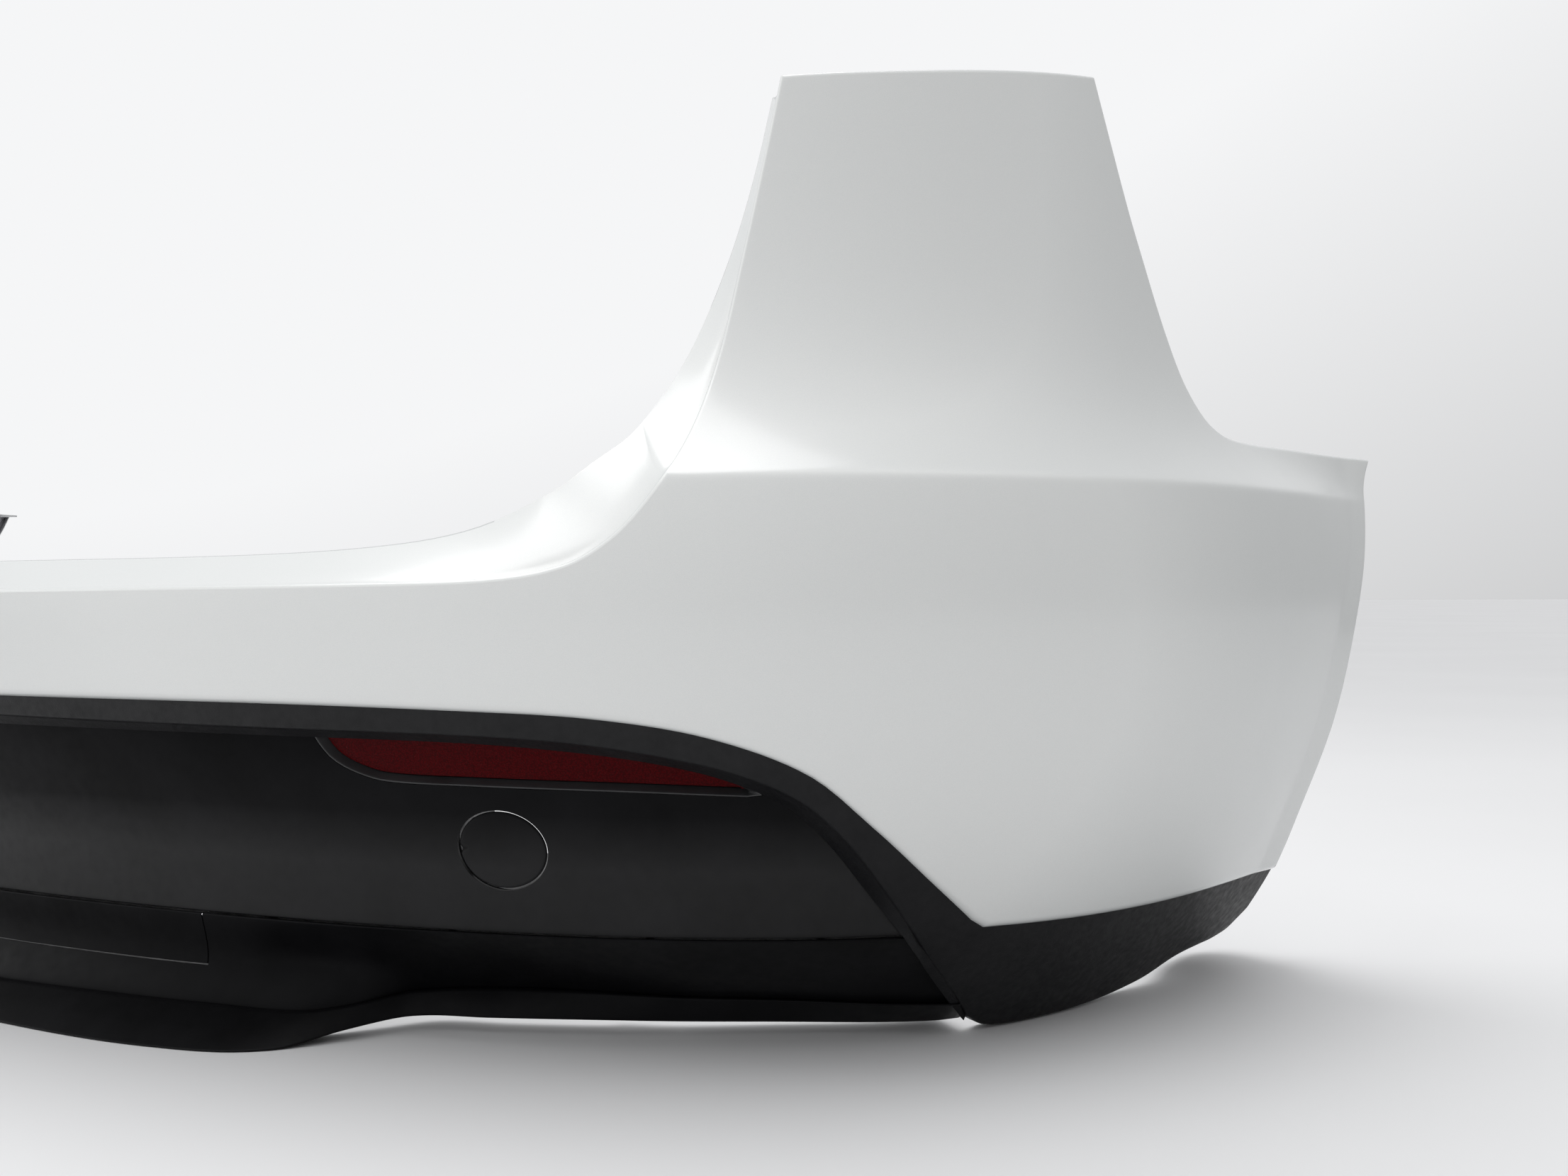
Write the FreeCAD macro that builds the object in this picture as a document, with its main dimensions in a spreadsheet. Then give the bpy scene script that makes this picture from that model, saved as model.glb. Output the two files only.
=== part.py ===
import FreeCAD, Part
import math
import os

import Sketcher
from FreeCAD import Placement, Rotation, Vector

# Rear bumper cover of a mid-size crossover. Design frame: X to the car's right, Y forward from
# the rearmost point of the crease line, Z up from the floor. Every outline is given as (s, z):
# s is the distance from the centre line, measured along the crease line seen from above, and
# z is the height. "depth" is how far a surface lies inside the crease line at that place.

DIMENSIONS = [
    # the crease line seen from above: a gentle bow that turns into each corner
    ("bow_radius", 2247.0),
    ("corner_turn_deg", 49.56),
    ("corner_start", 390.0),
    ("corner_end", 1265.0),
    # upright section of the painted skin
    ("crease_height", 410.0),
    ("shoulder_depth", 92.0),
    ("shoulder_rise", 72.0),
    ("skin_wall", 3.0),
    ("trim_wall", 2.5),
    ("half_length", 1420.0),
    # how far the origin (middle of the bounding box) lies forward of the crease line
    ("centre_forward", 360.07),
    # gate opening flange
    ("flange_depth", 35.0),
    ("flange_lip", 22.0),
    ("sill_hole_radius", 4.0),
    ("sill_hole_offset", 120.0),
    # angle behind the gate sill
    ("support_bottom", 326.0),
    ("support_top", 356.2),
    ("support_near", 38.0),
    ("support_far", 80.0),
    # black surround and valance
    ("surround_inset", 4.5),
    ("split_height", 88.0),
    ("split_gap", 1.5),
    ("shelf_width", 24.0),
    ("pin_hole_radius", 3.3),
    # tow-eye hole, its cover and sleeve
    ("tow_radius", 33.0),
    ("tow_gap", 1.0),
    ("tow_position", 473.0),
    ("tow_height", 150.0),
    ("hook_length", 11.0),
    ("hook_width", 10.0),
    ("hook_gauge", 2.0),
    ("sleeve_bore_radius", 35.5),
    ("sleeve_outer_radius", 37.5),
    ("sleeve_wall", 2.5),
    ("sleeve_length", 62.0),
    ("sleeve_rim_radius", 39.0),
    # removable cover of the towing hitch
    ("hitch_half_width", 205.0),
    ("hitch_bottom", 46.0),
    ("hitch_gap", 1.0),
    ("hitch_clip_radius", 5.0),
    ("hitch_clip_length", 24.0),
    # reflector pockets
    ("lens_depth", 6.0),
    ("lens_wall", 3.0),
    ("housing_depth", 12.0),
    # brackets
    ("bracket_gauge", 2.0),
    ("quarter_length", 190.0),
    ("quarter_foot", 34.0),
    ("quarter_upright", 26.0),
    ("quarter_hole_spacing", 120.0),
    ("bracket_hole_radius", 3.5),
    ("brace_length", 70.0),
    ("brace_foot", 30.0),
    ("brace_upright", 26.0),
    ("brace_hole_spacing", 44.0),
    ("corner_length", 90.0),
    ("corner_foot", 40.0),
    ("corner_upright", 60.0),
    ("lamp_plate_width", 120.0),
    ("lamp_plate_height", 44.0),
    ("lamp_hole_spacing", 80.0),
    # fasteners
    ("screw_radius", 2.8),
    ("screw_length", 16.0),
    ("screw_head_radius", 6.0),
    ("screw_head_height", 2.4),
    ("pin_radius", 3.0),
    ("pin_length", 15.0),
    ("pin_head_radius", 8.0),
    ("pin_head_height", 2.0),
    ("nut_side", 15.0),
    ("nut_gauge", 1.6),
]

# Outlines of the painted skin, right-hand half, as (s, z).
GATE_EDGE = [(0, 336), (420, 339), (500, 342), (545, 351), (575, 369), (598, 394), (614, 420),
             (636, 487), (656, 568), (690, 700), (700, 740)]
FLANGE_BACK = [(0, 359), (250, 360), (378, 365), (455, 376), (516, 400), (552, 421), (576, 437),
               (605, 470), (622, 494), (639, 529), (657, 572)]
FLANGE_FRONT = [(0, 336), (250, 337), (395, 339), (475, 341), (528, 347), (562, 360), (585, 379),
                (613, 419), (629, 464), (643, 512), (656, 568)]
TOWER_TOP = [(690, 702), (830, 711), (1024, 731)]
QUARTER_SEAM = [(1024, 731), (1047, 684), (1071, 634), (1095, 584), (1113, 534), (1124, 485),
                (1134, 462), (1160, 453), (1263, 451), (1395, 448)]
WHITE_BOTTOM = [(0, 253), (300, 253), (475, 250), (560, 246), (637, 234), (704, 209), (750, 172),
                (800, 129), (848, 92)]
# The wheel-arch edge as (y, z).
ARCH_EDGE = [(625, 40), (608, 88), (592, 150), (606, 217), (631, 290), (679, 366), (728, 446),
             (765, 505)]
# Outlines of the black surround, as (s, z).
SURROUND_TOP = [(0, 268), (300, 268), (475, 265), (575, 260), (660, 246), (722, 222), (768, 184),
                (818, 141), (862, 106)]
BEVEL_OUTER = [(0, 240), (324, 237), (470, 235), (545, 231), (610, 222), (660, 210), (702, 191),
               (735, 162), (769, 122), (809, 75), (861, 26), (885, 5)]
BEVEL_INNER = [(0, 230), (324, 229), (455, 227), (535, 222), (597, 214), (645, 203), (690, 184),
               (722, 157), (756, 119), (781, 92), (795, 76), (838, 35), (858, 14)]
SKIRT_TOE = [(872, 16), (896, 4), (925, 0)]
SKIRT_HEEL = [(1000, 0), (1060, 3), (1120, 11), (1164, 19), (1230, 16), (1280, 18), (1303, 34),
              (1302, 60), (1280, 96), (1277, 112)]
# Hidden edges of the valance panel and the lower valance, behind the surround.
VALANCE_EDGE = [(0, 248), (480, 243), (600, 231), (700, 200), (762, 146), (790, 110), (806, 80)]
LOWER_EDGE = [(797, 95), (820, 62), (838, 40), (843, 20), (843, 5)]
# Reflector aperture, clockwise from its inboard upper corner, as (s, z).
REFLECTOR = [(338, 237), (341, 228), (350, 215), (366, 206), (389, 200), (457, 198), (574, 196),
             (668, 193), (640, 210), (600, 224), (560, 233), (500, 237)]
# Recess of the valance: (height, depth).
VALANCE_DEPTH = [(84, 50), (120, 48), (151, 42), (200, 26), (250, 8)]
# Lower valance and lip by station: (s, height, depth).
STEP_LINE = [(0, 20, 35), (105, 20, 40), (213, 20, 45), (296, 20, 52), (332, 23, 71),
             (368, 29, 102), (467, 33, 117), (600, 32, 119), (700, 31, 118), (850, 27, 98)]
LIP_LINE = [(0, 0, -3), (142, 0, -9), (208, 0, -7), (266, 0, 1), (300, 0, 19), (335, 8, 54),
            (369, 12, 88), (433, 13, 98), (547, 13, 115), (690, 11, 130), (850, 8, 122)]
BELLY_LINE = [(0, 52, 55), (230, 52, 58), (320, 54, 72), (430, 57, 90), (850, 57, 90)]

doc = FreeCAD.newDocument("bumper_cover")
sheet = doc.addObject("Spreadsheet::Sheet", "Dims")
for row, (alias, value) in enumerate(DIMENSIONS, start=1):
    sheet.set(f"A{row}", alias)
    sheet.set(f"B{row}", str(value))
    sheet.setAlias(f"B{row}", alias)
doc.recompute()
sub_parts = []


def dim(alias):
    return float(sheet.get(alias))


# ---------------------------------------------------------------- surfaces and outlines

def ease(value):
    """Smooth step from 0 to 1."""
    value = min(1.0, max(0.0, value))
    return value * value * (3 - 2 * value)


def ease_more(value):
    """Smooth step whose curvature is continuous too."""
    value = min(1.0, max(0.0, value))
    return value ** 3 * (value * (6 * value - 15) + 10)


def between(knots, place, column=1):
    """A smooth curve through knots (place, value, ...), read at one place."""
    if place <= knots[0][0]:
        return knots[0][column]
    if place >= knots[-1][0]:
        return knots[-1][column]
    index = max(i for i in range(len(knots) - 1) if knots[i][0] <= place)

    def slope(i):
        low = max(i - 1, 0)
        high = min(i + 1, len(knots) - 1)
        return (knots[high][column] - knots[low][column]) / (knots[high][0] - knots[low][0])

    span = knots[index + 1][0] - knots[index][0]
    part = (place - knots[index][0]) / span
    start, end = knots[index][column], knots[index + 1][column]
    return (start * (1 + 2 * part) * (1 - part) ** 2 + slope(index) * span * part * (1 - part) ** 2
            + end * part * part * (3 - 2 * part) - slope(index + 1) * span * part * part * (1 - part))


PLAN_STEP = 2.0


def turn_at(s):
    """Direction of the crease line seen from above, in radians from the X axis."""
    corner = (s - dim("corner_start")) / (dim("corner_end") - dim("corner_start"))
    return s / dim("bow_radius") + math.radians(dim("corner_turn_deg")) * ease_more(corner)


def plan_table():
    """Points of the crease line seen from above, every PLAN_STEP from the centre."""
    points = [(0.0, 0.0)]
    for index in range(int(1500 / PLAN_STEP)):
        middle = turn_at((index + 0.5) * PLAN_STEP)
        x, y = points[-1]
        points.append((x + math.cos(middle) * PLAN_STEP, y + math.sin(middle) * PLAN_STEP))
    return points


PLAN = plan_table()


def at(s, z, depth):
    """The point at distance s and height z, depth inside the crease line."""
    side = -1 if s < 0 else 1
    place = abs(s) / PLAN_STEP
    index = min(int(place), len(PLAN) - 2)
    part = place - index
    x = PLAN[index][0] + (PLAN[index + 1][0] - PLAN[index][0]) * part
    y = PLAN[index][1] + (PLAN[index + 1][1] - PLAN[index][1]) * part
    turn = turn_at(abs(s))
    return Vector(side * (x - math.sin(turn) * depth), y + math.cos(turn) * depth, z)


def skin_depth(s, z):
    """Depth of the painted skin: tucked in below the crease, hollow shoulder above it."""
    crease = dim("crease_height")
    if z <= crease:
        drop = (crease - z) / crease
        return 35.0 * drop ** 3 + 156.3 * drop ** 2 - 80.5 * drop
    fade = 1 - 0.7 * min(1.0, max(0.0, (abs(s) - 1150) / 250)) ** 2
    return dim("shoulder_depth") * (1 - math.exp((crease - z) / dim("shoulder_rise"))) * fade


def valance_depth(s, z):
    return between(VALANCE_DEPTH, z) + 10 * ease((abs(s) - 300) / 400)


def surround_depth(s, z):
    return skin_depth(s, z) + dim("surround_inset")


def line(first, second):
    return Part.LineSegment(first, second).toShape()


def spline(points):
    curve = Part.BSplineCurve()
    curve.interpolate(points)
    return curve.toShape()


def loop(stretches):
    """One closed wire of stretches: two points make a line, more make a smooth curve."""
    edges = []
    for points in stretches:
        edges.append(line(*points) if len(points) == 2 else spline(points))
    return Part.Wire(edges)


def polygon(points):
    return Part.makePolygon(list(points) + [points[0]])


def stations(low, high, step):
    count = max(2, math.ceil((high - low) / step))
    return [low + (high - low) * index / count for index in range(count + 1)]


def slab(places, runs_of, wall):
    """A curved wall; runs_of(s) gives runs of (z, depth), and each run is one smooth stretch."""
    wires = []
    for s in places:
        runs = runs_of(s)
        outer = [[at(s, z, depth) for z, depth in run] for run in runs]
        inner = [[at(s, z, depth + wall) for z, depth in reversed(run)] for run in reversed(runs)]
        wires.append(loop(outer + [[outer[-1][-1], inner[0][0]]]
                          + inner + [[inner[-1][-1], outer[0][0]]]))
    return Part.makeLoft(wires, True, False)


def sheet_of(depth_of, low, high, inset=0.0):
    """Runs for slab: one smooth stretch of a surface, between two heights."""
    return lambda s: [[(z, depth_of(s, z) + inset) for z in heights(low, high)]]


def ribbon(sections):
    """A solid through closed sections of straight sides."""
    return Part.makeLoft([polygon(points) for points in sections], True, False)


def heights(low, high, count=8):
    return [low + (high - low) * index / (count - 1) for index in range(count)]


def both_halves(points):
    """Right-hand points from the centre outwards, completed with their mirror image."""
    return [Vector(-p.x, p.y, p.z) for p in reversed(points[1:])] + list(points)


def on_surface(outline, depth_of):
    return [at(s, z, depth_of(s, z)) for s, z in outline]


def seen_from_behind(points):
    return [Vector(p.x, 0, p.z) for p in points]


def seen_from_side(points):
    return [Vector(0, p.y, p.z) for p in points]


def prism_along_y(stretches, low, high):
    face = Part.Face(loop(stretches))
    face.translate(Vector(0, low, 0))
    return face.extrude(Vector(0, high - low, 0))


def prism_along_x(stretches, low, high):
    face = Part.Face(loop(stretches))
    face.translate(Vector(low, 0, 0))
    return face.extrude(Vector(high - low, 0, 0))


def region_beyond(curve, corners):
    """Stretches of the closed region between a curve and the corners that follow its end."""
    ends = [curve[-1]] + corners + [curve[0]]
    return [curve] + [[ends[i], ends[i + 1]] for i in range(len(ends) - 1)]


def above_curve(points, top, low=-200, high=900):
    """Everything above a symmetric curve that is seen from behind."""
    curve = both_halves(seen_from_behind(points))
    corners = [Vector(curve[-1].x, 0, top), Vector(curve[0].x, 0, top)]
    return prism_along_y(region_beyond(curve, corners), low, high)


def largest(shape):
    """The biggest solid of a cut shape, without the offcuts."""
    return max(shape.Solids, key=lambda solid: solid.Volume)


def strip(front, back, wall, count=61):
    """A thin ribbon between smooth curves through two rows of points."""
    front = spline(front).discretize(count)
    back = spline(back).discretize(count)
    sections = []
    for index in range(len(front)):
        ahead = front[min(index + 1, len(front) - 1)] - front[max(index - 1, 0)]
        across = back[index] - front[index]
        out = ahead.cross(across).normalize() * wall
        sections.append([front[index], back[index], back[index] + out, front[index] + out])
    return ribbon(sections)


def shelf(places, depth_of, inner, outer, low, high):
    """A level flange that follows the plan, between two offsets from a surface."""
    sections = []
    for s in places:
        near = depth_of(s, low) + inner
        far = depth_of(s, low) + outer
        sections.append([at(s, low, near), at(s, low, far), at(s, high, far), at(s, high, near)])
    return ribbon(sections)


def rod(foot, axis, radius, length):
    return Part.makeCylinder(radius, length, foot, axis)


def mirrored(shape):
    return shape.mirror(Vector(0, 0, 0), Vector(1, 0, 0))


# ---------------------------------------------------------------- sub-parts from surfaces

def keep(name, shape):
    """Register a solid, or a group of solids, as the sub-part called name."""
    feature = doc.addObject("Part::Feature", name)
    feature.Label = name
    feature.Shape = shape
    feature.Placement = Placement(Vector(0, -dim("centre_forward"), 0), Rotation())
    sub_parts.append(feature)
    return feature


def gate_flange():
    """The strip that turns in from the gate opening's edge, with its level fixing lip."""
    wall = dim("trim_wall")
    front = [at(s + 1.5 if s else 0, z - 1.5, skin_depth(s, z) + 1.0) for s, z in FLANGE_FRONT]
    back = [at(s, z, dim("flange_depth")) for s, z in FLANGE_BACK]
    flange = strip(both_halves(front), both_halves(back), -wall)
    lip_places = stations(-330, 330, 66)
    sections = []
    for s in lip_places:
        top = between(FLANGE_BACK, abs(s))
        near, far = dim("flange_depth") - 1.0, dim("flange_depth") + dim("flange_lip")
        sections.append([at(s, top - wall, near), at(s, top - wall, far), at(s, top, far),
                         at(s, top, near)])
    return flange, ribbon(sections)


def bumper_skin():
    """The painted one-piece skin with its gate, arch and seam flanges."""
    wall = dim("skin_wall")
    crease = dim("crease_height")
    reach = dim("half_length")
    skin = slab(stations(-reach, reach, 71),
                lambda s: (sheet_of(skin_depth, 60, crease)(s)
                           + sheet_of(skin_depth, crease, 750)(s)), wall)
    gate = on_surface(GATE_EDGE, skin_depth)
    tower = seen_from_behind(on_surface(TOWER_TOP, skin_depth))
    tower_cap = region_beyond(tower, [Vector(900, 0, 745), Vector(900, 0, 800), Vector(560, 0, 800),
                                      Vector(560, 0, 695)])
    bottom = both_halves(seen_from_behind(on_surface(WHITE_BOTTOM, skin_depth)))
    below = region_beyond(bottom, [Vector(930, 0, 84), Vector(1000, 0, 0), Vector(-1000, 0, 0),
                                   Vector(-930, 0, 84)])
    seam = seen_from_side(on_surface(QUARTER_SEAM, skin_depth))
    seam_cap = region_beyond(seam, [Vector(0, 900, 440), Vector(0, 900, 800), Vector(0, 402, 800)])
    arch = [Vector(0, y, z) for y, z in ARCH_EDGE]
    arch_cap = region_beyond(arch, [Vector(0, 1000, 505), Vector(0, 1000, 40)])
    cutters = [above_curve(gate, 800), prism_along_y(below, -200, 900),
               prism_along_x(seam_cap, -1100, 1100), prism_along_x(arch_cap, -1100, 1100)]
    cap = prism_along_y(tower_cap, -200, 900)
    skin = skin.cut(cutters + [cap, mirrored(cap)])
    skin = largest(skin)
    flange, lip = gate_flange()
    seam_places = stations(1165, 1380, 43)
    seam_shelf = shelf(seam_places, skin_depth, 1.0, dim("quarter_foot"), 447.0, 449.5)
    seam_shelf = seam_shelf.cut(prism_along_x(arch_cap, -1100, 1100))
    skin = skin.fuse([flange, lip, seam_shelf, mirrored(seam_shelf)])
    holes = [rod(at(side * dim("sill_hole_offset"), 340, 46), Vector(0, 0, 1),
                 dim("sill_hole_radius"), 40) for side in (-1, 1)]
    for foot in quarter_screw_places():
        holes.append(rod(foot + Vector(0, 0, -20), Vector(0, 0, 1), dim("bracket_hole_radius"), 40))
    return keep("bumper_skin", skin.cut(holes))


def lower_surround():
    """The black frame under the painted skin: arched band, inner bevel and corner skirts."""
    wall = dim("trim_wall")
    frame = slab(stations(-1330, 1330, 70), sheet_of(surround_depth, -8, 275), wall)
    top = both_halves(seen_from_behind(on_surface(SURROUND_TOP, surround_depth)))
    high = SURROUND_TOP[-1][1]
    above = region_beyond(top, [Vector(1000, 0, high), Vector(1000, 0, 400), Vector(-1000, 0, 400),
                                Vector(-1000, 0, high)])
    inner = both_halves(seen_from_behind(on_surface(BEVEL_OUTER, surround_depth)))
    opening = region_beyond(inner, [inner[-1] + Vector(20, 0, -60), inner[0] + Vector(-20, 0, -60)])
    toe = seen_from_side(on_surface(SKIRT_TOE, surround_depth))
    heel = seen_from_side(on_surface(SKIRT_HEEL, surround_depth))
    corners = [heel[-1], Vector(0, 900, heel[-1].z), Vector(0, 900, -60), Vector(0, toe[0].y, -60),
               toe[0]]
    under = [toe, [toe[-1], heel[0]], heel]
    under += [[corners[i], corners[i + 1]] for i in range(len(corners) - 1)]
    frame = frame.cut([prism_along_y(above, -200, 900), prism_along_y(opening, -200, 420),
                       prism_along_x(under, -1100, 1100)])
    frame = largest(frame)
    outer_edge = [at(s + 1.5 if s else 0, z + 1.5, surround_depth(s, z) + 0.9)
                  for s, z in BEVEL_OUTER[:-1]]
    inner_edge = [at(s, z, bevel_floor(s, z)) for s, z in BEVEL_INNER[:-1]]
    bevel = strip(both_halves(outer_edge), both_halves(inner_edge), wall)
    return keep("lower_surround", frame.fuse(bevel).cut(floor_block()))


def bevel_floor(s, z):
    """Depth where the surround's bevel ends, just in front of the valance behind it."""
    if z >= dim("split_height"):
        return valance_depth(s, z) - 6.0
    return between([(14, 103), (35, 93), (57, 80), (76, 60), (88, 54)], z)


def floor_block():
    """Everything below the ground line."""
    return Part.makeBox(2400, 1400, 60, Vector(-1200, -300, -60))


def valance_normal(s, z):
    """Outward normal of the valance at one place, with its sideways and upward directions."""
    sideways = at(s + 2, z, valance_depth(s + 2, z)) - at(s - 2, z, valance_depth(s - 2, z))
    upward = at(s, z + 2, valance_depth(s, z + 2)) - at(s, z - 2, valance_depth(s, z - 2))
    normal = sideways.cross(upward).normalize()
    return normal, sideways.normalize(), normal.cross(sideways)


def tow_centre():
    s, z = dim("tow_position"), dim("tow_height")
    return at(s, z, valance_depth(s, z))


def tow_bore(radius):
    normal = valance_normal(dim("tow_position"), dim("tow_height"))[0]
    return rod(tow_centre() + normal * 30, normal * -1, radius, 80)


PIN_STATIONS = (260, 420, 580, 720)
PIN_INSET = 17.0


def pin_places():
    """Where the push pins cross the two shelves, left and right."""
    split = dim("split_height")
    return [at(side * s, split, valance_depth(s, split) + PIN_INSET)
            for side in (-1, 1) for s in PIN_STATIONS]


def pin_holes():
    return [rod(foot + Vector(0, 0, -15), Vector(0, 0, 1), dim("pin_hole_radius"), 30)
            for foot in pin_places()]


def grown(corners, amount):
    """A closed outline with each corner moved outwards by a small amount."""
    moved = []
    for i, corner in enumerate(corners):
        before, after = corners[i - 1], corners[(i + 1) % len(corners)]
        first, second = (corner - before).normalize(), (after - corner).normalize()
        out = Vector(first.z + second.z, 0, -first.x - second.x).normalize()
        spread = max(0.35, abs(out.x * first.z - out.z * first.x))
        moved.append(corner + out * (amount / spread))
    return moved


def reflector_prism(side, grow):
    """The reflector's outline carried straight through the bumper, grown or shrunk."""
    corners = seen_from_behind(on_surface(REFLECTOR, valance_depth))
    corners = [Vector(side * corner.x, 0, corner.z) for corner in grown(corners, grow)]
    tip = REFLECTOR.index((668, 193))
    outline = [corners[:tip + 1], corners[tip:], [corners[-1], corners[0]]]
    return prism_along_y(outline, -60, 360)


def valance_panel():
    """The recessed upper valance, with reflector apertures, tow-eye hole and pin shelf."""
    wall = dim("trim_wall")
    low = dim("split_height") + dim("split_gap") / 2
    panel = slab(stations(-815, 815, 58), sheet_of(valance_depth, low, 252), wall)
    edge = both_halves(seen_from_behind(on_surface(VALANCE_EDGE, valance_depth)))
    beyond = region_beyond(edge, [Vector(1100, 0, 80), Vector(1100, 0, 400), Vector(-1100, 0, 400),
                                  Vector(-1100, 0, 80)])
    panel = largest(panel.cut(prism_along_y(beyond, -200, 900)))
    for side in (-1, 1):
        places = [side * s for s in stations(214, 780, 57)]
        panel = panel.fuse(shelf(places, valance_depth, 1.0, dim("shelf_width"), low, low + wall))
    cutters = [reflector_prism(-1, 0), reflector_prism(1, 0), tow_bore(dim("tow_radius") + dim("tow_gap"))]
    return keep("valance_panel", panel.cut(cutters + pin_holes()))


def lower_run(s):
    """Section of the lower valance at one station, from its tail up to the split line."""
    place = abs(s)
    step_z, step_depth = between(STEP_LINE, place), between(STEP_LINE, place, 2)
    lip_z, lip_depth = between(LIP_LINE, place), between(LIP_LINE, place, 2)
    belly_z, belly_depth = between(BELLY_LINE, place), between(BELLY_LINE, place, 2)
    split = dim("split_height")
    tail_drop = 6.0
    lip_there = step_depth + (lip_depth - step_depth) * tail_drop / (step_z - lip_z)
    tail_depth = max(step_depth + 3.0, lip_there + 4.0)
    top = split - dim("split_gap") / 2
    return [(step_z - tail_drop, tail_depth), (step_z, step_depth + 2.5), (belly_z, belly_depth),
            (top, valance_depth(s, split))]


def hitch_window(clearance):
    """The block that the hitch cover fills, less a clearance on each side."""
    half = dim("hitch_half_width") - clearance
    low = dim("hitch_bottom") + clearance
    return Part.makeBox(2 * half, 260, 140 - low, Vector(-half, -60, low))


def lower_valance():
    """The panel between the split line and the lip, open in the middle for a towing hitch."""
    wall = dim("trim_wall")
    panel = slab(stations(-845, 845, 16), lambda s: [lower_run(s)], wall)
    edge = seen_from_behind(on_surface(LOWER_EDGE, valance_depth))
    for side in (-1, 1):
        curve = [Vector(side * p.x, 0, p.z) for p in edge]
        ends = [Vector(side * 1100, 0, 5), Vector(side * 1100, 0, 95)]
        panel = panel.cut(prism_along_y(region_beyond(curve, ends), -200, 900))
    panel = largest(panel)
    top = dim("split_height") - dim("split_gap") / 2
    for side in (-1, 1):
        sections = []
        for s in stations(214, 780, 57):
            near = between(lower_run(s), top - 2.0) + 1.0
            far = valance_depth(s, dim("split_height")) + dim("shelf_width")
            corners = [(top - wall, near), (top - wall, far), (top, far), (top, near)]
            sections.append([at(side * s, z, depth) for z, depth in corners])
        panel = panel.fuse(ribbon(sections))
    panel = panel.cut([hitch_window(0)] + pin_holes())
    return keep("lower_valance", largest(panel))


def hitch_cover():
    """The removable middle piece of the lower valance."""
    panel = slab(stations(-240, 240, 16), lambda s: [lower_run(s)], dim("trim_wall"))
    return keep("hitch_cover", panel.common(hitch_window(dim("hitch_gap"))))


def hitch_cover_clips():
    """Two round retaining studs pressed into the back of the hitch cover."""
    studs = []
    for side in (-1, 1):
        run = lower_run(150)
        foot = at(side * 150, 66, between(run, 66) + dim("trim_wall") - 1.0)
        studs.append(rod(foot, Vector(0, 1, 0), dim("hitch_clip_radius"), dim("hitch_clip_length")))
    return keep("hitch_cover_clips", Part.makeCompound(studs))


LIP_FLANGE = 40.0
LIP_WALL = 4.0


def diffuser_lip():
    """The stepped lip along the bottom, with its level fixing flange."""
    wall = dim("trim_wall")
    sections = []
    for s in stations(-843, 843, 12):
        place = abs(s)
        step_z, step_depth = between(STEP_LINE, place), between(STEP_LINE, place, 2) - 3.0
        lip_z, lip_depth = max(0.0, between(LIP_LINE, place)), between(LIP_LINE, place, 2)
        corner = lip_depth + (step_depth - lip_depth) * wall / (step_z - lip_z) + LIP_WALL
        outline = [(step_z, step_depth), (lip_z, lip_depth), (lip_z, lip_depth + LIP_FLANGE),
                   (lip_z + wall, lip_depth + LIP_FLANGE), (lip_z + wall, corner),
                   (step_z, step_depth + LIP_WALL)]
        sections.append([at(s, z, depth) for z, depth in outline])
    lip = ribbon(sections)
    holes = [rod(foot + Vector(0, 0, -12), Vector(0, 0, 1), dim("bracket_hole_radius"), 30)
             for foot in lip_screw_places() + undertray_places()]
    return keep("diffuser_lip", lip.cut(holes))


def undertray_places():
    """Free holes in the lip's flange for the undertray."""
    return [at(side * 450, 13, 125) for side in (-1, 1)]


def tow_eye_cover():
    """The round snap-in cover of the towing-eye hole, with its two hooks."""
    s, z = dim("tow_position"), dim("tow_height")
    normal, sideways, upward = valance_normal(s, z)
    disc = slab(stations(s - 60, s + 60, 20), sheet_of(valance_depth, z - 55, z + 55), dim("trim_wall"))
    disc = disc.common(tow_bore(dim("tow_radius")))
    width, gauge = dim("hook_width"), dim("hook_gauge")
    for height in (-14, 14):
        corner = (tow_centre() - sideways * (dim("tow_radius") - 8) + upward * (height - width / 2)
                  - normal * 1.5)
        base = polygon([corner, corner + sideways * gauge, corner + sideways * gauge + upward * width,
                        corner + upward * width])
        disc = disc.fuse(Part.Face(base).extrude(normal * -dim("hook_length")))
    return keep("tow_eye_cover", disc)


def reflector_parts(side, suffix):
    """Lens and housing of one reflector."""
    places = [side * s for s in stations(325, 690, 36.5)]
    lens_depth, lens_wall = dim("lens_depth"), dim("lens_wall")
    lens = slab(places, sheet_of(valance_depth, 186, 246, lens_depth), lens_wall)
    keep("reflector_lens_" + suffix, largest(lens.common(reflector_prism(side, -1.0))))
    rim = dim("trim_wall") + 1.0
    floor = dim("housing_depth")
    block = slab(places, sheet_of(valance_depth, 180, 250, rim), floor + 2.0 - rim)
    cavity = slab(places, sheet_of(valance_depth, 178, 252, -5.0), floor + 5.0)
    housing = block.common(reflector_prism(side, 3.0)).cut(cavity.common(reflector_prism(side, 0.5)))
    keep("reflector_housing_" + suffix, largest(housing))


def centre_support():
    """The angle that stiffens the gate sill from behind, with two free screw holes."""
    wall = dim("trim_wall")
    low, high = dim("support_bottom"), dim("support_top")
    near, far = dim("support_near"), dim("support_far")
    sections = []
    for s in stations(-470, 470, 47):
        outline = [(low, near), (low, far), (low + wall, far), (low + wall, near + wall),
                   (high, near + wall), (high, near)]
        sections.append([at(s, z, depth) for z, depth in outline])
    holes = [rod(at(side * dim("sill_hole_offset"), low - 5, far - 14), Vector(0, 0, 1),
                 dim("sill_hole_radius"), 12) for side in (-1, 1)]
    return keep("centre_support", ribbon(sections).cut(holes))


# ---------------------------------------------------------------- brackets and the tow sleeve

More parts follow.
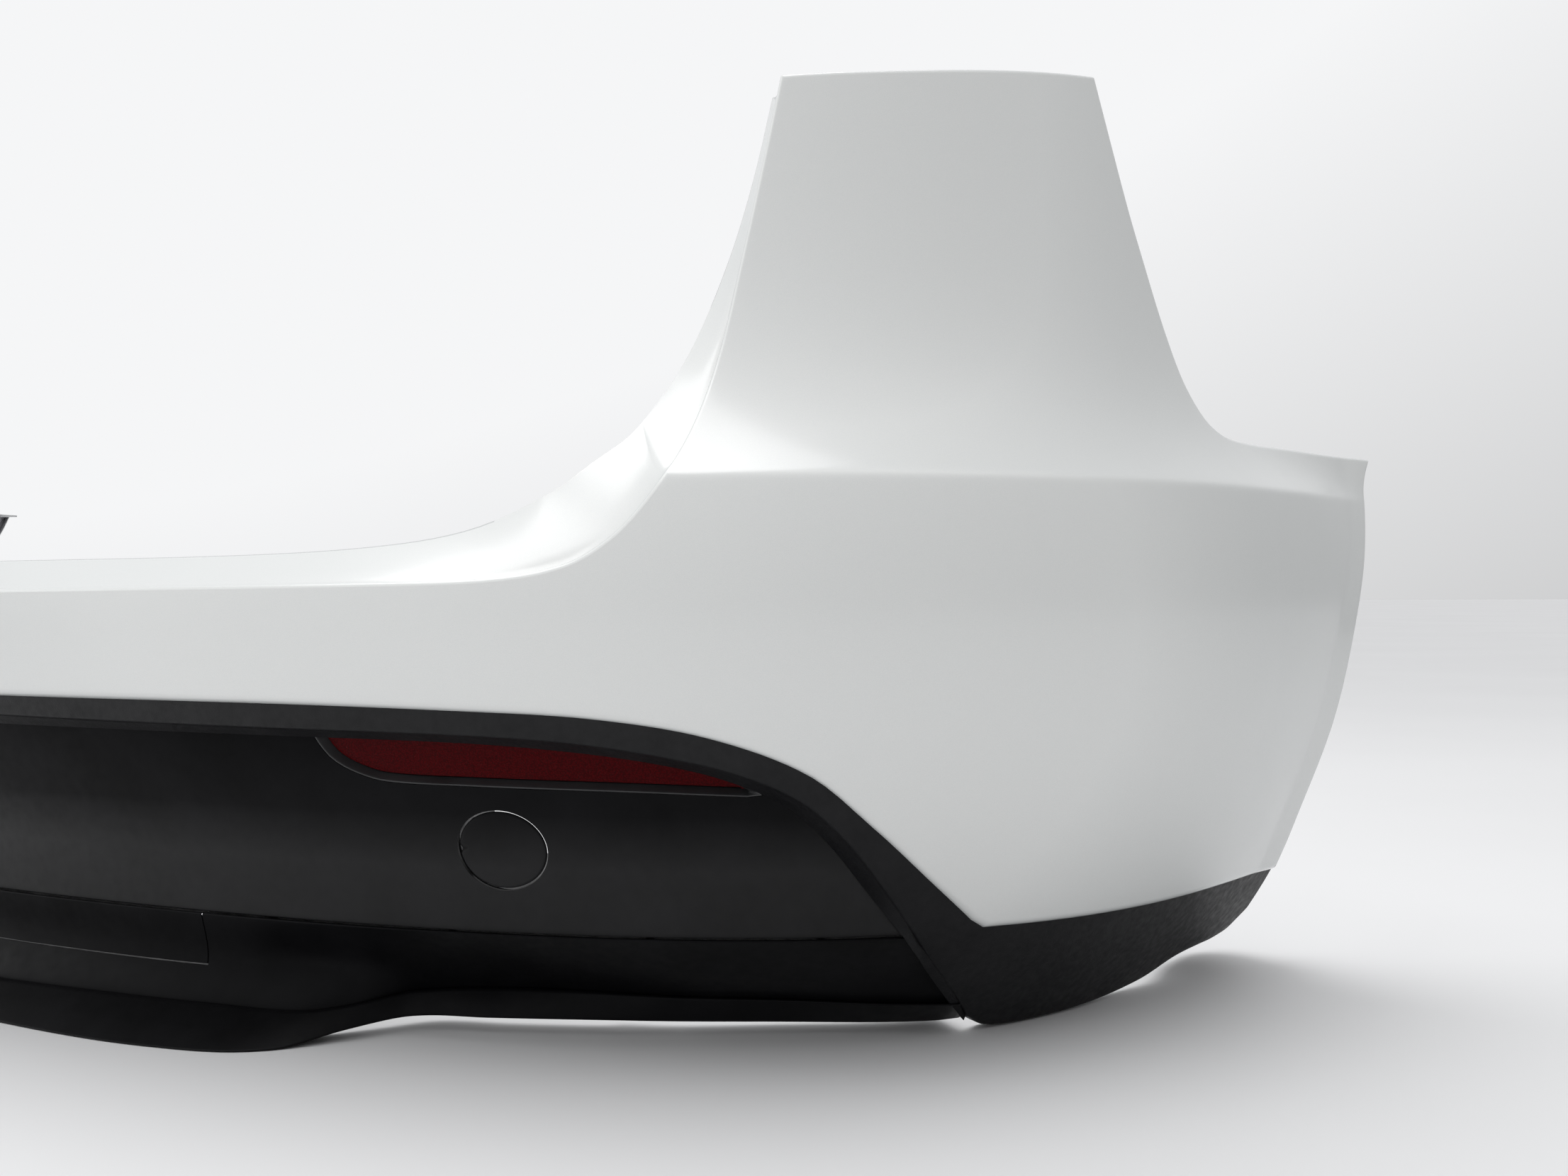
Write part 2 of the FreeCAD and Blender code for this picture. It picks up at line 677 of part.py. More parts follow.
def placed(position, angle_deg, side=1):
    """Placement on the right, or its mirror image on the left, turned about the vertical."""
    base = Vector(side * position.x, position.y - dim("centre_forward"), position.z)
    return Placement(base, Rotation(Vector(0, 0, 1), side * angle_deg))


def origin_plane(body, role):
    for feature in body.Origin.OriginFeatures:
        if feature.Role == role:
            return feature
    raise ValueError(role)


def flat_sketch(body, name, role="XY_Plane"):
    sketch = body.newObject("Sketcher::SketchObject", name)
    sketch.AttachmentSupport = [(origin_plane(body, role), "")]
    sketch.MapMode = "FlatFace"
    return sketch


def add_circle(sketch, alias, centre=None):
    """A circle whose radius, and sideways place if given, follow the sheet."""
    start = Vector(0, 0, 0) if centre is None else Vector(centre[0] * dim(centre[1]) / 2, 0, 0)
    index = sketch.addGeometry(Part.Circle(start, Vector(0, 0, 1), dim(alias)), False)
    sketch.addConstraint(Sketcher.Constraint("Radius", index, dim(alias)))
    sketch.setExpression(f"Constraints[{sketch.ConstraintCount - 1}]", f"Dims.{alias}")
    if centre is None:
        sketch.addConstraint(Sketcher.Constraint("Coincident", index, 3, -1, 1))
        return
    sketch.addConstraint(Sketcher.Constraint("PointOnObject", index, 3, -1))
    sketch.addConstraint(Sketcher.Constraint("DistanceX", -1, 1, index, 3, start.x))
    sketch.setExpression(f"Constraints[{sketch.ConstraintCount - 1}]", f"{centre[0]} * Dims.{centre[1]} / 2")


def add_rectangle(sketch, width, height):
    """A rectangle about the sketch's origin whose sides follow the sheet."""
    half_w, half_h = dim(width) / 2, dim(height) / 2
    corners = [Vector(-half_w, -half_h, 0), Vector(half_w, -half_h, 0), Vector(half_w, half_h, 0),
               Vector(-half_w, half_h, 0)]
    for i in range(4):
        sketch.addGeometry(Part.LineSegment(corners[i], corners[(i + 1) % 4]), False)
    for i in range(4):
        sketch.addConstraint(Sketcher.Constraint("Coincident", i, 2, (i + 1) % 4, 1))
        sketch.addConstraint(Sketcher.Constraint("Horizontal" if i % 2 == 0 else "Vertical", i))
    sketch.addConstraint(Sketcher.Constraint("Symmetric", 0, 1, 1, 2, -1, 1))
    sketch.addConstraint(Sketcher.Constraint("DistanceX", 0, 1, 0, 2, 2 * half_w))
    sketch.setExpression(f"Constraints[{sketch.ConstraintCount - 1}]", f"Dims.{width}")
    sketch.addConstraint(Sketcher.Constraint("DistanceY", 1, 1, 1, 2, 2 * half_h))
    sketch.setExpression(f"Constraints[{sketch.ConstraintCount - 1}]", f"Dims.{height}")


def add_pad(body, sketch, length):
    pad = body.newObject("PartDesign::Pad", sketch.Name + "_pad")
    pad.Profile = sketch
    pad.setExpression("Length", length)
    return pad


def tow_eye_sleeve():
    """The guide tube behind the towing-eye hole, with a round rim."""
    body = doc.addObject("PartDesign::Body", "tow_eye_sleeve")
    body.Label = "tow_eye_sleeve"
    tube = flat_sketch(body, "sleeve_ring")
    add_circle(tube, "sleeve_outer_radius")
    add_circle(tube, "sleeve_bore_radius")
    add_pad(body, tube, "Dims.sleeve_length")
    rim = flat_sketch(body, "rim_ring")
    add_circle(rim, "sleeve_rim_radius")
    add_circle(rim, "sleeve_bore_radius")
    add_pad(body, rim, "Dims.sleeve_wall")
    normal = valance_normal(dim("tow_position"), dim("tow_height"))[0]
    foot = tow_centre() - normal * 8.0 + Vector(0, -dim("centre_forward"), 0)
    body.Placement = Placement(foot, Rotation(Vector(0, 0, 1), normal * -1))
    sub_parts.append(body)


def lamp_bracket(side, suffix):
    """The plate inside the tower that the rear lamp's studs pass through."""
    name = "lamp_bracket_" + suffix
    body = doc.addObject("PartDesign::Body", name)
    body.Label = name
    plate = flat_sketch(body, name + "_plate")
    add_rectangle(plate, "lamp_plate_width", "lamp_plate_height")
    add_pad(body, plate, "Dims.bracket_gauge")
    holes = flat_sketch(body, name + "_holes")
    add_circle(holes, "bracket_hole_radius", (-1, "lamp_hole_spacing"))
    add_circle(holes, "bracket_hole_radius", (1, "lamp_hole_spacing"))
    pocket = body.newObject("PartDesign::Pocket", name + "_pocket")
    pocket.Profile = holes
    pocket.Type = "ThroughAll"
    pocket.Reversed = True
    place = placed(at(840, 668, skin_depth(840, 668) + 18), math.degrees(turn_at(840)), side)
    upright = Rotation(Vector(1, 0, 0), 90)
    body.Placement = Placement(place.Base, place.Rotation.multiply(upright))
    sub_parts.append(body)


def box(name, sizes, base=("0 mm", "0 mm", "0 mm")):
    """A Part::Box whose sides and place are expressions."""
    feature = doc.addObject("Part::Box", name)
    for side, size in zip(("Length", "Width", "Height"), sizes):
        feature.setExpression(side, size)
    for axis, value in zip("xyz", base):
        feature.setExpression(f"Placement.Base.{axis}", value)
    return feature


def cylinder(name, radius, length, base=("0 mm", "0 mm", "0 mm")):
    feature = doc.addObject("Part::Cylinder", name)
    feature.setExpression("Radius", radius)
    feature.setExpression("Height", length)
    for axis, value in zip("xyz", base):
        feature.setExpression(f"Placement.Base.{axis}", value)
    return feature


def angle_bracket(name, kind, upright_up, hole_spacing, place):
    """A folded plate: a level foot with two holes, and an upright along one long side."""
    gauge = "Dims.bracket_gauge"
    length, foot, upright = f"Dims.{kind}_length", f"Dims.{kind}_foot", f"Dims.{kind}_upright"
    rise = "0 mm" if upright_up else f"{gauge} - {upright}"
    foot_plate = box(name + "_foot", (length, foot, gauge), (f"-{length} / 2", "0 mm", "0 mm"))
    web = box(name + "_web", (length, gauge, upright), (f"-{length} / 2", "0 mm", rise))
    folded = doc.addObject("Part::MultiFuse", name + "_folded")
    folded.Shapes = [foot_plate, web]
    holes = doc.addObject("Part::MultiFuse", name + "_holes")
    holes.Shapes = [cylinder(f"{name}_hole_{sign}", "Dims.bracket_hole_radius", f"4 * {gauge}",
                             (f"{sign} * Dims.{hole_spacing} / 2", f"{foot} * 0.6", f"-{gauge}"))
                    for sign in (-1, 1)]
    bracket = doc.addObject("Part::Cut", name)
    bracket.Base = folded
    bracket.Tool = holes
    bracket.Label = name
    bracket.Placement = place
    sub_parts.append(bracket)


def quarter_place(side):
    """Under the seam shelf, in line with the shelf's middle."""
    first = at(1180, 443.4, skin_depth(1180, 449))
    last = at(1330, 443.4, skin_depth(1330, 449))
    middle = (first + last) * 0.5
    along = last - first
    angle = math.atan2(along.y, along.x)
    inward = Vector(-math.sin(angle), math.cos(angle), 0)
    return placed(middle + inward * 5.0, math.degrees(angle), side)


def quarter_screw_places():
    """Tops of the seam shelf where the quarter brackets' screws go through."""
    spots = []
    for side in (-1, 1):
        for sign in (-1, 1):
            hole = Vector(sign * dim("quarter_hole_spacing") / 2, dim("quarter_foot") * 0.6, 0)
            spot = quarter_place(side).multVec(hole)
            spots.append(Vector(spot.x, spot.y + dim("centre_forward"), 449.5))
    return spots


def brace_place(side):
    """On the lip's flange, across from the lower valance."""
    s = 560
    foot = at(s, between(LIP_LINE, s) + dim("trim_wall") + 1.0, between(LIP_LINE, s, 2) + 11.0)
    return placed(foot, math.degrees(turn_at(s)), side)


def lip_screw_places():
    """Underside of the lip's flange where the braces' screws go through."""
    spots = []
    for side in (-1, 1):
        for sign in (-1, 1):
            hole = Vector(sign * dim("brace_hole_spacing") / 2, dim("brace_foot") * 0.6, 0)
            spot = brace_place(side).multVec(hole)
            spots.append(Vector(spot.x, spot.y + dim("centre_forward"), between(LIP_LINE, 560) - 0.6))
    return spots


def corner_place(side):
    return placed(at(1010, 112, 43), math.degrees(turn_at(1010)), side)


# ---------------------------------------------------------------- fasteners

def fastener_group(name, feet, head, shank, points_up):
    """Separate headed fasteners at the given feet; each head sits outside its foot."""
    head_radius, head_height = head
    shank_radius, shank_length = shank
    members = []
    for index, foot in enumerate(feet):
        label = f"{name}_{index}"
        head_base = f"-Dims.{head_height} - 0.1" if points_up else "0.1"
        shank_base = f"-Dims.{head_height}" if points_up else f"-Dims.{shank_length}"
        reach = f"Dims.{shank_length} + Dims.{head_height}"
        parts = [cylinder(label + "_head", f"Dims.{head_radius}", f"Dims.{head_height}",
                          ("0 mm", "0 mm", head_base)),
                 cylinder(label + "_shank", f"Dims.{shank_radius}", reach, ("0 mm", "0 mm", shank_base))]
        member = doc.addObject("Part::MultiFuse", label)
        member.Shapes = parts
        member.Placement = Placement(foot - Vector(0, dim("centre_forward"), 0), Rotation())
        members.append(member)
    group = doc.addObject("Part::Compound", name)
    group.Links = members
    group.Label = name
    sub_parts.append(group)


def nut_group(name, feet):
    """Separate square speed nuts, each with a hole for its screw."""
    members = []
    for index, foot in enumerate(feet):
        label = f"{name}_{index}"
        plate = box(label + "_plate", ("Dims.nut_side", "Dims.nut_side", "Dims.nut_gauge"),
                    ("-Dims.nut_side / 2", "-Dims.nut_side / 2", "0 mm"))
        hole = cylinder(label + "_hole", "Dims.screw_radius + 0.1", "4 * Dims.nut_gauge",
                        ("0 mm", "0 mm", "-Dims.nut_gauge"))
        member = doc.addObject("Part::Cut", label)
        member.Base = plate
        member.Tool = hole
        member.Placement = Placement(foot - Vector(0, dim("centre_forward"), 0), Rotation())
        members.append(member)
    group = doc.addObject("Part::Compound", name)
    group.Links = members
    group.Label = name
    sub_parts.append(group)


def fasteners():
    """Push pins, screws and speed nuts."""
    lower_shelf = dim("split_height") - dim("split_gap") / 2 - dim("trim_wall")
    pins = [Vector(foot.x, foot.y, lower_shelf) for foot in pin_places()]
    fastener_group("push_pins", pins, ("pin_head_radius", "pin_head_height"),
                   ("pin_radius", "pin_length"), True)
    screw = (("screw_head_radius", "screw_head_height"), ("screw_radius", "screw_length"))
    fastener_group("lip_screws", lip_screw_places(), *screw, True)
    fastener_group("quarter_screws", quarter_screw_places(), *screw, False)
    above_brace = 0.6 + dim("trim_wall") + 1.0 + dim("bracket_gauge") + 0.2
    nuts = [foot + Vector(0, 0, above_brace) for foot in lip_screw_places()]
    below_bracket = 443.4 - dim("nut_gauge") - 0.2
    nuts += [Vector(foot.x, foot.y, below_bracket) for foot in quarter_screw_places()]
    nut_group("speed_nuts", nuts)


# ---------------------------------------------------------------- the whole cover

def build():
    bumper_skin()
    lower_surround()
    valance_panel()
    lower_valance()
    diffuser_lip()
    hitch_cover()
    hitch_cover_clips()
    tow_eye_cover()
    tow_eye_sleeve()
    centre_support()
    for side, suffix in ((-1, "left"), (1, "right")):
        reflector_parts(side, suffix)
        lamp_bracket(side, suffix)
        angle_bracket("quarter_bracket_" + suffix, "quarter", False, "quarter_hole_spacing",
                      quarter_place(side))
        angle_bracket("lip_brace_" + suffix, "brace", True, "brace_hole_spacing", brace_place(side))
        angle_bracket("corner_bracket_" + suffix, "corner", True, "brace_hole_spacing",
                      corner_place(side))
    fasteners()
    doc.recompute()


def write():
    """Check every object, then write each sub-part to its own file."""
    for feature in doc.Objects:
        if "Invalid" in feature.State or "Error" in feature.State:
            raise RuntimeError(f"{feature.Name}: {feature.State}")
    os.makedirs("parts", exist_ok=True)
    for feature in sub_parts:
        if feature.Shape.isNull() or not feature.Shape.isValid():
            raise RuntimeError(f"{feature.Label} has no valid shape")
        print(feature.Label, len(feature.Shape.Solids), round(feature.Shape.Volume / 1000, 1), "cm3")
        feature.Shape.exportStep(f"parts/{feature.Label}.step")


build()
write()
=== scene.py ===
import math

import bmesh
import bpy
import numpy as np
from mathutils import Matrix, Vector


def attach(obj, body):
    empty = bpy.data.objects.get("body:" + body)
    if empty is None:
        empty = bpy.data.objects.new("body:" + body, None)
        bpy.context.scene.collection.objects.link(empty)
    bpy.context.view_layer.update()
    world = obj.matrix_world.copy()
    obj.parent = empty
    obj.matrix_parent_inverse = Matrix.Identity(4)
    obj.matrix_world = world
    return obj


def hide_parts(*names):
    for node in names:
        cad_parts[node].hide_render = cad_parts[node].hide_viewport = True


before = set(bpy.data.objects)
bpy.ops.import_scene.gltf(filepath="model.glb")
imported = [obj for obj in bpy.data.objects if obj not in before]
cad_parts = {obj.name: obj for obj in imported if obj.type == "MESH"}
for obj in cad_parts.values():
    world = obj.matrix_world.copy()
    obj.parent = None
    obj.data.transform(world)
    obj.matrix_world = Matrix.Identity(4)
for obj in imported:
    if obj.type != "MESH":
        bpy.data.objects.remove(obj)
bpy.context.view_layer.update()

# The surfaces follow the same rules as the CAD part. A point is given as (s, z, depth) in mm: s is
# the distance from the centre line along the crease line seen from above, z the height, and depth
# how far the point lies inside the crease line.

BOW_RADIUS = 2247.0
CORNER_TURN = math.radians(49.56)
CORNER_START, CORNER_END = 390.0, 1265.0
CENTRE_FORWARD = 360.07
CREASE = 410.0
CREASE_SOFTNESS = 1.6
SHOULDER_DEPTH, SHOULDER_RISE = 92.0, 72.0
SURROUND_INSET = 4.5
SKIN_WALL, SURROUND_WALL, PANEL_WALL, COVER_WALL = 2.5, 2.0, 2.4, 2.2
LENS_WALL, POCKET_WALL = 2.8, 1.2
SPLIT_TOP, SPLIT_BOTTOM = 88.75, 87.25
SPLIT_SOFTNESS, SHELF_DEPTH, JAMB_DEPTH = 1.4, 24.0, 14.0
SEAM_LEVEL = 462.0
TOW_S, TOW_Z, TOW_RADIUS, TOW_GAP, TOW_SQUASH = 473.0, 148.8, 32.8, 1.5, 0.885

GATE_EDGE = [(0, 336), (420, 339), (500, 342), (545, 351), (575, 369), (598, 394), (614, 420),
             (636, 487), (656, 568), (690, 700), (700, 740)]
FLANGE_BACK = [(0, 359, 35), (250, 360, 35), (378, 365, 35), (455, 376, 35), (516, 400, 36),
               (548, 422, 42), (571, 439, 51), (583, 455, 63), (596, 475, 74), (612, 502, 85),
               (630, 540, 96), (650, 588, 104), (668, 640, 108), (683, 690, 105)]
TOWER_TOP = [(680, 701), (830, 711), (1030, 731.5)]
QUARTER_SEAM = [(1024, 731), (1047, 684), (1071, 634), (1095, 584), (1113, 534), (1124, 485),
                (1134, 462), (1160, 453), (1263, 451), (1395, 448)]
WHITE_BOTTOM = [(0, 253), (300, 253), (475, 250), (560, 246), (637, 234), (704, 209), (750, 172),
                (800, 129), (846, 93)]
WHITE_TOE = [(848, 92), (1000, 90), (1300, 87)]
ARCH_EDGE = [(40, 625), (88, 608), (150, 592), (217, 606), (290, 631), (366, 679), (446, 728),
             (505, 765)]
SURROUND_TOP = [(0, 268), (300, 268), (475, 265), (575, 260), (660, 246), (722, 222), (768, 184),
                (818, 141), (862, 106)]
BEVEL_OUTER = [(0, 240), (324, 237), (470, 235), (545, 231), (610, 222), (660, 210), (702, 191),
               (735, 162), (769, 122), (809, 75), (861, 26), (885, 5)]
BEVEL_INNER = [(0, 230), (324, 229), (455, 227), (535, 222), (597, 214), (645, 203), (690, 184),
               (722, 157), (756, 119), (781, 92), (795, 76), (838, 35), (858, 14)]
VALANCE_EDGE = [(0, 248), (480, 243), (600, 231), (700, 200), (762, 146), (790, 110), (806, 80)]
LOWER_EDGE = [(858, 5), (858, 20), (852, 40), (834, 62), (806, 95)]
SKIRT_TOE = [(872, 16), (896, 6), (925, 3), (1000, 3), (1060, 5), (1120, 11), (1164, 19),
             (1230, 17), (1280, 19), (1303, 35)]
REFLECTOR = [(338, 237), (341, 228), (350, 215), (366, 206), (389, 200), (457, 198), (574, 196),
             (668, 193), (640, 210), (600, 224), (560, 233), (500, 237)]
VALANCE_DEPTH = [(84, 50), (120, 48), (151, 42), (200, 26), (250, 8)]
STEP_LINE = [(0, 20, 35), (105, 20, 40), (213, 20, 45), (296, 20, 52), (332, 23, 71),
             (368, 29, 102), (467, 33, 117), (600, 32, 119), (700, 31, 118), (850, 27, 98)]
LIP_LINE = [(0, 0, -3), (142, 0, -9), (208, 0, -7), (266, 0, 1), (300, 0, 19), (335, 8, 54),
            (369, 12, 88), (433, 13, 98), (547, 13, 115), (690, 11, 130), (850, 8, 122)]
BELLY_LINE = [(0, 52, 55), (230, 52, 58), (320, 54, 72), (430, 57, 90), (850, 57, 90)]


# ---------------------------------------------------------------- curves and surfaces

def ease(value):
    value = np.clip(value, 0, 1)
    return value * value * (3 - 2 * value)


def ease_more(value):
    value = np.clip(value, 0, 1)
    return value ** 3 * (value * (6 * value - 15) + 10)


def through(knots, places, column=1):
    """A smooth curve through knots (place, value, ...), read at many places."""
    knots = np.array(knots, float)
    x, y = knots[:, 0], knots[:, column]
    index = np.arange(len(x))
    low, high = np.maximum(index - 1, 0), np.minimum(index + 1, len(x) - 1)
    slope = (y[high] - y[low]) / (x[high] - x[low])
    places = np.clip(places, x[0], x[-1])
    i = np.clip(np.searchsorted(x, places, side="right") - 1, 0, len(x) - 2)
    span = x[i + 1] - x[i]
    part = (places - x[i]) / span
    rest = 1 - part
    return (y[i] * (1 + 2 * part) * rest ** 2 + slope[i] * span * part * rest ** 2
            + y[i + 1] * part ** 2 * (3 - 2 * part) - slope[i + 1] * span * part ** 2 * rest)


def turn_at(s):
    s = np.abs(s)
    return s / BOW_RADIUS + CORNER_TURN * ease_more((s - CORNER_START) / (CORNER_END - CORNER_START))


PLAN_STEP = 2.0
PLAN_MIDDLES = (np.arange(760) + 0.5) * PLAN_STEP
PLAN_S = np.arange(761) * PLAN_STEP
PLAN_X = np.concatenate([[0.0], np.cumsum(np.cos(turn_at(PLAN_MIDDLES))) * PLAN_STEP])
PLAN_Y = np.concatenate([[0.0], np.cumsum(np.sin(turn_at(PLAN_MIDDLES))) * PLAN_STEP])


def place(net):
    """Positions in metres of points (s, z, depth)."""
    s, z, depth = net[..., 0], net[..., 1], net[..., 2]
    turn = turn_at(s)
    x = np.sign(s) * (np.interp(np.abs(s), PLAN_S, PLAN_X) - np.sin(turn) * depth)
    y = np.interp(np.abs(s), PLAN_S, PLAN_Y) + np.cos(turn) * depth - CENTRE_FORWARD
    return np.stack([x, y, z], -1) / 1000


def skin_depth(s, z):
    """The painted skin, with a softened crease, a hollow shoulder and a facet along the arch."""
    above = CREASE_SOFTNESS * np.logaddexp(0, (z - CREASE) / CREASE_SOFTNESS)
    below = CREASE_SOFTNESS * np.logaddexp(0, (CREASE - z) / CREASE_SOFTNESS)
    drop = below / CREASE
    fade = 1 - 0.97 * np.clip((np.abs(s) - 1150) / 240, 0, 1) ** 2
    return (35.0 * drop ** 3 + 156.3 * drop ** 2 - 80.5 * drop
            + SHOULDER_DEPTH * (1 - np.exp(-above / SHOULDER_RISE)) * fade)


def valance_depth(s, z):
    return through(VALANCE_DEPTH, z) + 10 * ease((np.abs(s) - 300) / 400)


def surround_depth(s, z):
    return skin_depth(s, z) + SURROUND_INSET


def path(points, count=400):
    """Evenly spaced points along a smooth curve through the given ones."""
    points = np.array(points, float)
    steps = np.linalg.norm(np.diff(points, axis=0), axis=1)
    along = np.concatenate([[0.0], np.cumsum(steps)])
    fine = np.linspace(0, along[-1], 1200)
    curve = np.stack([through(np.column_stack([along, points[:, k]]), fine)
                      for k in range(points.shape[1])], -1)
    return resample(curve, count)


def resample(curve, count):
    """The same polyline with evenly spaced points; count may be a list of places from 0 to 1."""
    curve = np.array(curve, float)
    steps = np.linalg.norm(np.diff(curve, axis=0), axis=1)
    along = np.concatenate([[0.0], np.cumsum(steps)])
    where = (np.linspace(0, 1, count) if np.isscalar(count) else np.asarray(count)) * along[-1]
    return np.stack([np.interp(where, along, curve[:, k]) for k in range(curve.shape[1])], -1)


def left_normals(curve, closed=False):
    """Unit normals on the left of a flat path, lengthened at its corners."""
    ahead = np.diff(curve, axis=0)
    if closed:
        ahead = np.vstack([ahead, curve[:1] - curve[-1:]])
    ahead = ahead / np.maximum(np.linalg.norm(ahead, axis=1, keepdims=True), 1e-9)
    normal = np.stack([-ahead[:, 1], ahead[:, 0]], -1)
    if closed:
        before, after = np.roll(normal, 1, axis=0), normal
    else:
        before, after = np.vstack([normal[:1], normal]), np.vstack([normal, normal[-1:]])
    middle = before + after
    middle /= np.maximum(np.linalg.norm(middle, axis=1, keepdims=True), 1e-9)
    spread = np.maximum(np.sum(middle * after, axis=1, keepdims=True), 0.55)
    return middle / spread


def offset(curve, amount):
    """A flat path moved to its left."""
    return curve + left_normals(curve) * amount


def lift(flat, depth_of, extra=0.0):
    """Points (s, z, depth) for flat points (s, z) on a surface."""
    depth = depth_of(flat[..., 0], flat[..., 1]) + extra
    return np.concatenate([flat, depth[..., None]], -1)


def filled(bottom, top, left, right):
    """A flat net between four sides that share their corners."""
    rows, columns = len(left), len(bottom)
    v = np.linspace(0, 1, rows)[:, None, None]
    u = np.linspace(0, 1, columns)[None, :, None]
    across = (1 - v) * bottom[None] + v * top[None]
    up = (1 - u) * left[:, None] + u * right[:, None]
    corners = ((1 - u) * (1 - v) * bottom[0] + u * (1 - v) * bottom[-1]
               + (1 - u) * v * top[0] + u * v * top[-1])
    return across + up - corners


# ---------------------------------------------------------------- meshes

class Sheet:
    """Quads gathered from nets of points; nets that share points are welded."""

    def __init__(self):
        self.points = []
        self.quads = []
        self.count = 0

    def add(self, net, around=False, positions=None):
        """Adds a net of (s, z, depth), or of ready positions; around closes its columns."""
        spots = place(net) if positions is None else positions
        rows, columns = spots.shape[:2]
        index = self.count + np.arange(rows * columns).reshape(rows, columns)
        if around:
            index = np.hstack([index, index[:, :1]])
        quads = np.stack([index[:-1, :-1], index[:-1, 1:], index[1:, 1:], index[1:, :-1]], -1)
        self.points.append(spots.reshape(-1, 3))
        self.quads.append(quads.reshape(-1, 4))
        self.count += rows * columns

    def cap(self, positions):
        """Closes a ring of positions with a fan about its middle."""
        middle = positions.mean(axis=0)[None]
        ring = self.count + np.arange(len(positions))
        centre = self.count + len(positions)
        self.points += [positions, middle]
        hub = np.full(len(ring), centre)
        self.quads.append(np.stack([ring, np.roll(ring, -1), hub, hub], -1))
        self.count += len(positions) + 1


def face_outwards(work):
    """Turns an open sheet's faces away from the space behind the cover."""
    bmesh.ops.recalc_face_normals(work, faces=work.faces)
    total = 0.0
    for face in work.faces:
        middle = face.calc_center_median()
        away = Vector((middle.x, middle.y - 0.1, 0.0))
        total += face.normal.dot(away) * face.calc_area()
    if total < 0:
        bmesh.ops.reverse_faces(work, faces=work.faces)


def bake(piece, cutters):
    """Fixes the modifiers of a piece into its mesh and removes the cutters."""
    view = bpy.context.evaluated_depsgraph_get()
    mesh = bpy.data.meshes.new_from_object(piece.evaluated_get(view))
    piece.modifiers.clear()
    piece.data = mesh
    for cutter in cutters:
        bpy.data.objects.remove(cutter)


def make_piece(name, sheet, material, body, node, wall=0.0, bevel=0.0, mirror=False,
               cutters=(), lining=None):
    """A piece from a sheet, thickened inwards by wall and with edges rounded by bevel, in mm."""
    points = np.vstack(sheet.points)
    quads = np.vstack(sheet.quads)
    if mirror:
        quads = np.vstack([quads, quads[:, ::-1] + len(points)])
        points = np.vstack([points, points * [-1, 1, 1]])
    work = bmesh.new()
    corners = [work.verts.new(point) for point in points]
    for quad in quads:
        ring = list(dict.fromkeys(int(i) for i in quad))
        if len(ring) > 2:
            work.faces.new([corners[i] for i in ring])
    bmesh.ops.remove_doubles(work, verts=work.verts, dist=3e-5)
    bmesh.ops.dissolve_degenerate(work, edges=work.edges, dist=1e-6)
    if wall:
        face_outwards(work)
    else:
        bmesh.ops.recalc_face_normals(work, faces=work.faces)
    mesh = bpy.data.meshes.new(name)
    work.to_mesh(mesh)
    work.free()
    mesh.polygons.foreach_set("use_smooth", [True] * len(mesh.polygons))
    piece = bpy.data.objects.new(name, mesh)
    bpy.context.scene.collection.objects.link(piece)
    mesh.materials.append(material)
    if wall:
        shell = piece.modifiers.new("wall", "SOLIDIFY")
        shell.thickness = wall / 1000
        shell.offset = -1
        shell.use_even_offset = True
        shell.use_quality_normals = True
        shell.thickness_clamp = 1.0
        if lining:
            mesh.materials.append(lining)
            shell.material_offset = 1
    for index, cutter in enumerate(cutters):
        hole = piece.modifiers.new(f"hole_{index}", "BOOLEAN")
        hole.operation = "DIFFERENCE"
        hole.solver = "EXACT"
        hole.object = cutter
    if bevel:
        rounding = piece.modifiers.new("rounded", "BEVEL")
        rounding.width = bevel / 1000
        rounding.segments = 2
        rounding.limit_method = "ANGLE"
        rounding.angle_limit = math.radians(50)
        rounding.use_clamp_overlap = True
        weights = piece.modifiers.new("shading", "WEIGHTED_NORMAL")
        weights.keep_sharp = False
    if cutters:
        bake(piece, cutters)
    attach(piece, body)
    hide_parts(node)
    return piece


def until(curve, values):
    """The first part of a path, ending exactly where the values reach zero."""
    k = int(np.argmax(values > 0))
    part = values[k - 1] / (values[k - 1] - values[k])
    return np.vstack([curve[:k], curve[k - 1] + (curve[k] - curve[k - 1]) * part])


# ---------------------------------------------------------------- painted skin

RIM, LOW_RIM = 3.0, 6.0
ROLL = np.radians([22.5, 45.0, 67.5, 90.0])
FACET_WIDTH, FACET_TILT = 34.0, -0.15
ARCH_HEIGHTS = np.linspace(50, 505, 92)
STILL_FROM, STILL_TO = 720.0, 1150.0


def arch_reach(heights):
    """Distance from the centre line at which the wheel arch cuts the skin."""
    reach = np.arange(1100.0, 1490.0)
    found = []
    for height, edge in zip(heights, through(ARCH_EDGE, heights)):
        level = np.full_like(reach, height)
        row = place(np.stack([reach, level, skin_depth(reach, level)], -1))
        found.append(np.interp(edge, row[:, 1] * 1000 + CENTRE_FORWARD, reach))
    return np.array(found)


ARCH_REACH = arch_reach(ARCH_HEIGHTS)


def skin_face(s, z):
    """Depth of the skin with the narrow facet along its wheel-arch edge."""
    inside = np.interp(z, ARCH_HEIGHTS, ARCH_REACH) - np.abs(s)
    return skin_depth(s, z) + FACET_TILT * 2.5 * np.logaddexp(0, (FACET_WIDTH - inside) / 2.5)


